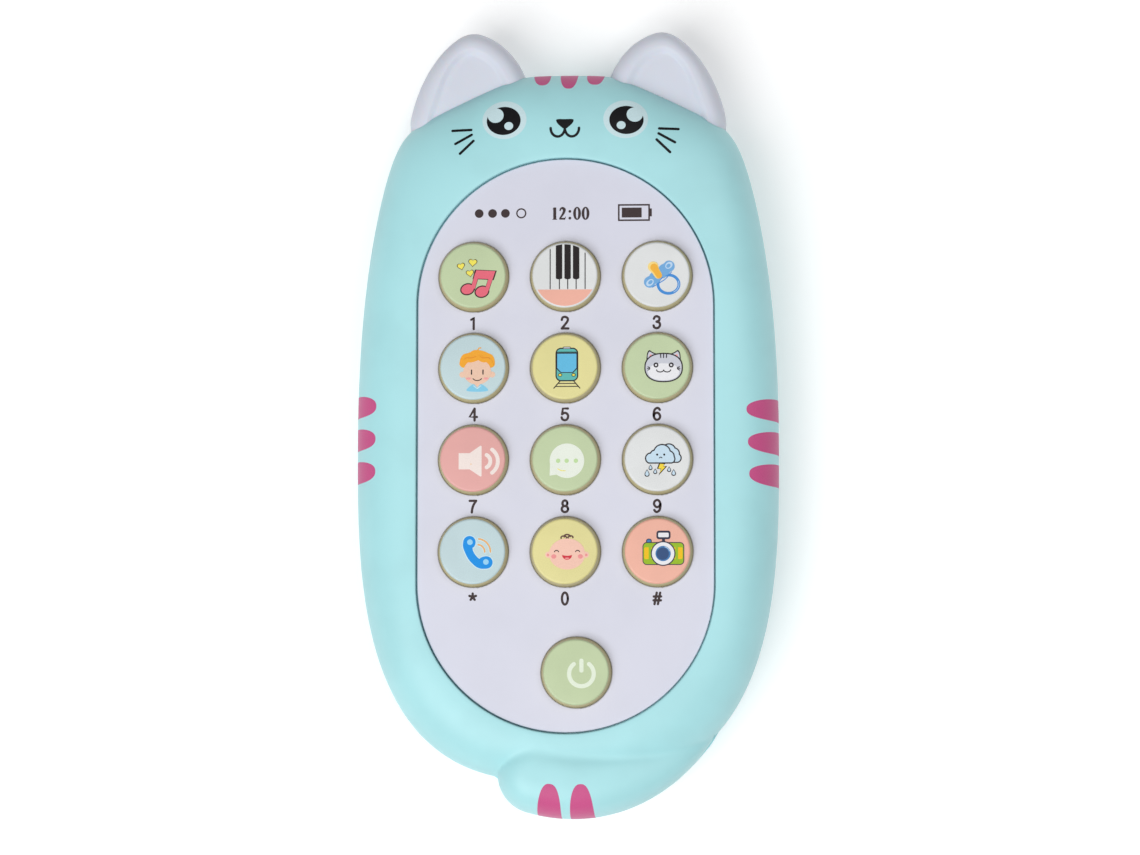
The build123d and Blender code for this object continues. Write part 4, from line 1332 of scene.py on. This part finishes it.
# %% Board, battery, cone and leads
def lacquered_board():
    """Green lacquer, a little paler where copper tracks run beneath it, on a squared-up pattern."""
    s = Shader("green_board")
    cells = s.node(
        "ShaderNodeTexVoronoi", {"Vector": s.place, "Scale": 0.32}, out=0,
        feature="DISTANCE_TO_EDGE",
    )
    track = cells.between(0.05, 0.07)
    s.set(Base_Color=s.mix(track, tint(70, 140, 86), tint(30, 98, 58)))
    s.set(Roughness=s.noise(3.0) * 0.1 + 0.28)
    s.bump(track, 0.2, 0.00003)
    return s.material


def battery_jacket():
    """A dark jacket with a copper-coloured band, and bare nickel at both ends of the cell."""
    s = Shader("battery_jacket")
    low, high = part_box("battery_left")
    middle = (low[1] + high[1]) / 2 / MM
    y = s.node("ShaderNodeSeparateXYZ", (s.place,), out=1)
    away = s.node("ShaderNodeMath", (y - middle,), operation="ABSOLUTE")
    band = away.between(13.0, 13.2)
    bare = away.between(21.2, 21.4)
    jacket = s.mix(band, tint(44, 48, 58), tint(190, 120, 70))
    s.set(Base_Color=s.mix(bare, jacket, tint(198, 198, 200)), Metallic=bare)
    s.set(Roughness=s.noise(2.0) * 0.12 + 0.26)
    return s.material


def insulated(name, colour):
    """The soft sleeve of a lead: an even colour with a faint sheen of handling."""
    s = Shader(name)
    dull = paler(colour, 0.85)
    s.set(Base_Color=s.mix(s.noise(2.5).between(0.35, 0.7), colour, dull))
    s.set(Roughness=s.noise(1.2) * 0.15 + 0.35)
    return s.material


# %% A finish for every node
finishes = {
    "mint_shell": MINT, "plate_white": WHITE, "ear_rubber": SILICONE, **KEY_TOPS,
    "grey_silicone": rubber("grey_silicone", tint(186, 188, 190)),
    "carbon_rubber": rubber("carbon_rubber", tint(34, 34, 36)),
    "green_board": lacquered_board(),
    "black_resin": printed("black_resin", tint(28, 28, 30), rough=0.22),
    "component_grey": moulded("component_grey", tint(92, 88, 84), rough=0.5),
    "pressed_steel": metal("pressed_steel", tint(176, 178, 182), 0.35),
    "cone_film": moulded("cone_film", tint(60, 62, 68), rough=0.4),
    "magnet_grey": metal("magnet_grey", tint(120, 122, 126), 0.45),
    "inner_plastic": moulded("inner_plastic", tint(208, 208, 204), rough=0.5),
    "zinc_steel": metal("zinc_steel", tint(196, 198, 200), 0.28),
    "nickel_steel": metal("nickel_steel", tint(206, 202, 192), 0.24),
    "battery_jacket": battery_jacket(),
    "lead_red": insulated("lead_red", tint(196, 44, 40)),
    "lead_black": insulated("lead_black", tint(36, 36, 38)),
}
for part in frame["record"]["subparts"]:
    holder = frame["nodes"][part["node"]]
    holder.data.materials.clear()
    holder.data.materials.append(finishes[part["material_slot"]])

# %% [markdown]
# ## Light, floor and camera
# The phone is seen from almost straight above, as for a catalogue, on white paper. A wide soft
# lamp to the lower left gives the gentle fall of brightness across the shell, a second fills the
# right, and a faint pale world keeps every shadow open. Both lamps hang high, so that the steep
# sides of the shell fall off in tone and show how round they are.

# %% Floor and lamps
def lamp(name, place, aim, size, power):
    """A square soft lamp at a place, turned to face another point."""
    data = bpy.data.lights.new(name, "AREA")
    data.size, data.energy = size, power
    holder = bpy.data.objects.new(name, data)
    bpy.context.scene.collection.objects.link(holder)
    holder.location = place
    facing = Vector(aim) - Vector(place)
    holder.rotation_euler = facing.to_track_quat("-Z", "Y").to_euler()


lamp("key_lamp", (-0.35, -0.45, 0.9), (0, 0, 0), 0.8, 8.4)
lamp("fill_lamp", (0.4, 0.2, 1.0), (0, 0, 0), 0.8, 3.8)

world = bpy.data.worlds.new("studio")
bpy.context.scene.world = world
world.use_nodes = True
world.node_tree.nodes["Background"].inputs["Color"].default_value = (1.0, 1.0, 1.0, 1.0)
world.node_tree.nodes["Background"].inputs["Strength"].default_value = 0.2

floor_mesh = bpy.data.meshes.new("floor")
reach = 2.0
corners = [(-reach, -reach, 0), (reach, -reach, 0), (reach, reach, 0), (-reach, reach, 0)]
floor_mesh.from_pydata(corners, [], [(0, 1, 2, 3)])
floor = bpy.data.objects.new("floor", floor_mesh)
bpy.context.scene.collection.objects.link(floor)
paper = Shader("white_paper")
floor_mesh.materials.append(
    paper.set(
        Base_Color=(0.93, 0.93, 0.93, 1), Roughness=0.9,
        Emission_Color=(1.0, 1.0, 1.0, 1.0), Emission_Strength=0.2,
    )
)
floor.location.z = -0.0002

# %% Camera
CAMERA_DISTANCE = 0.7
CAMERA_LEAN = math.radians(4.5)  # from straight above, towards the tail
CAMERA_SWING = math.radians(2.8)  # and a little to the right
SEEN_WIDTH = 0.228
camera = bpy.data.objects.new("camera", bpy.data.cameras.new("camera"))
bpy.context.scene.collection.objects.link(camera)
bpy.context.scene.camera = camera
camera.data.lens = camera.data.sensor_width * CAMERA_DISTANCE / SEEN_WIDTH
aim = Vector((0.00098, -0.0019, 0.0245))
turned_by = Euler((CAMERA_LEAN, CAMERA_SWING, 0))
camera.location = aim + turned_by.to_matrix() @ Vector((0, 0, CAMERA_DISTANCE))
camera.rotation_euler = turned_by
bpy.context.scene.view_settings.view_transform = "Standard"
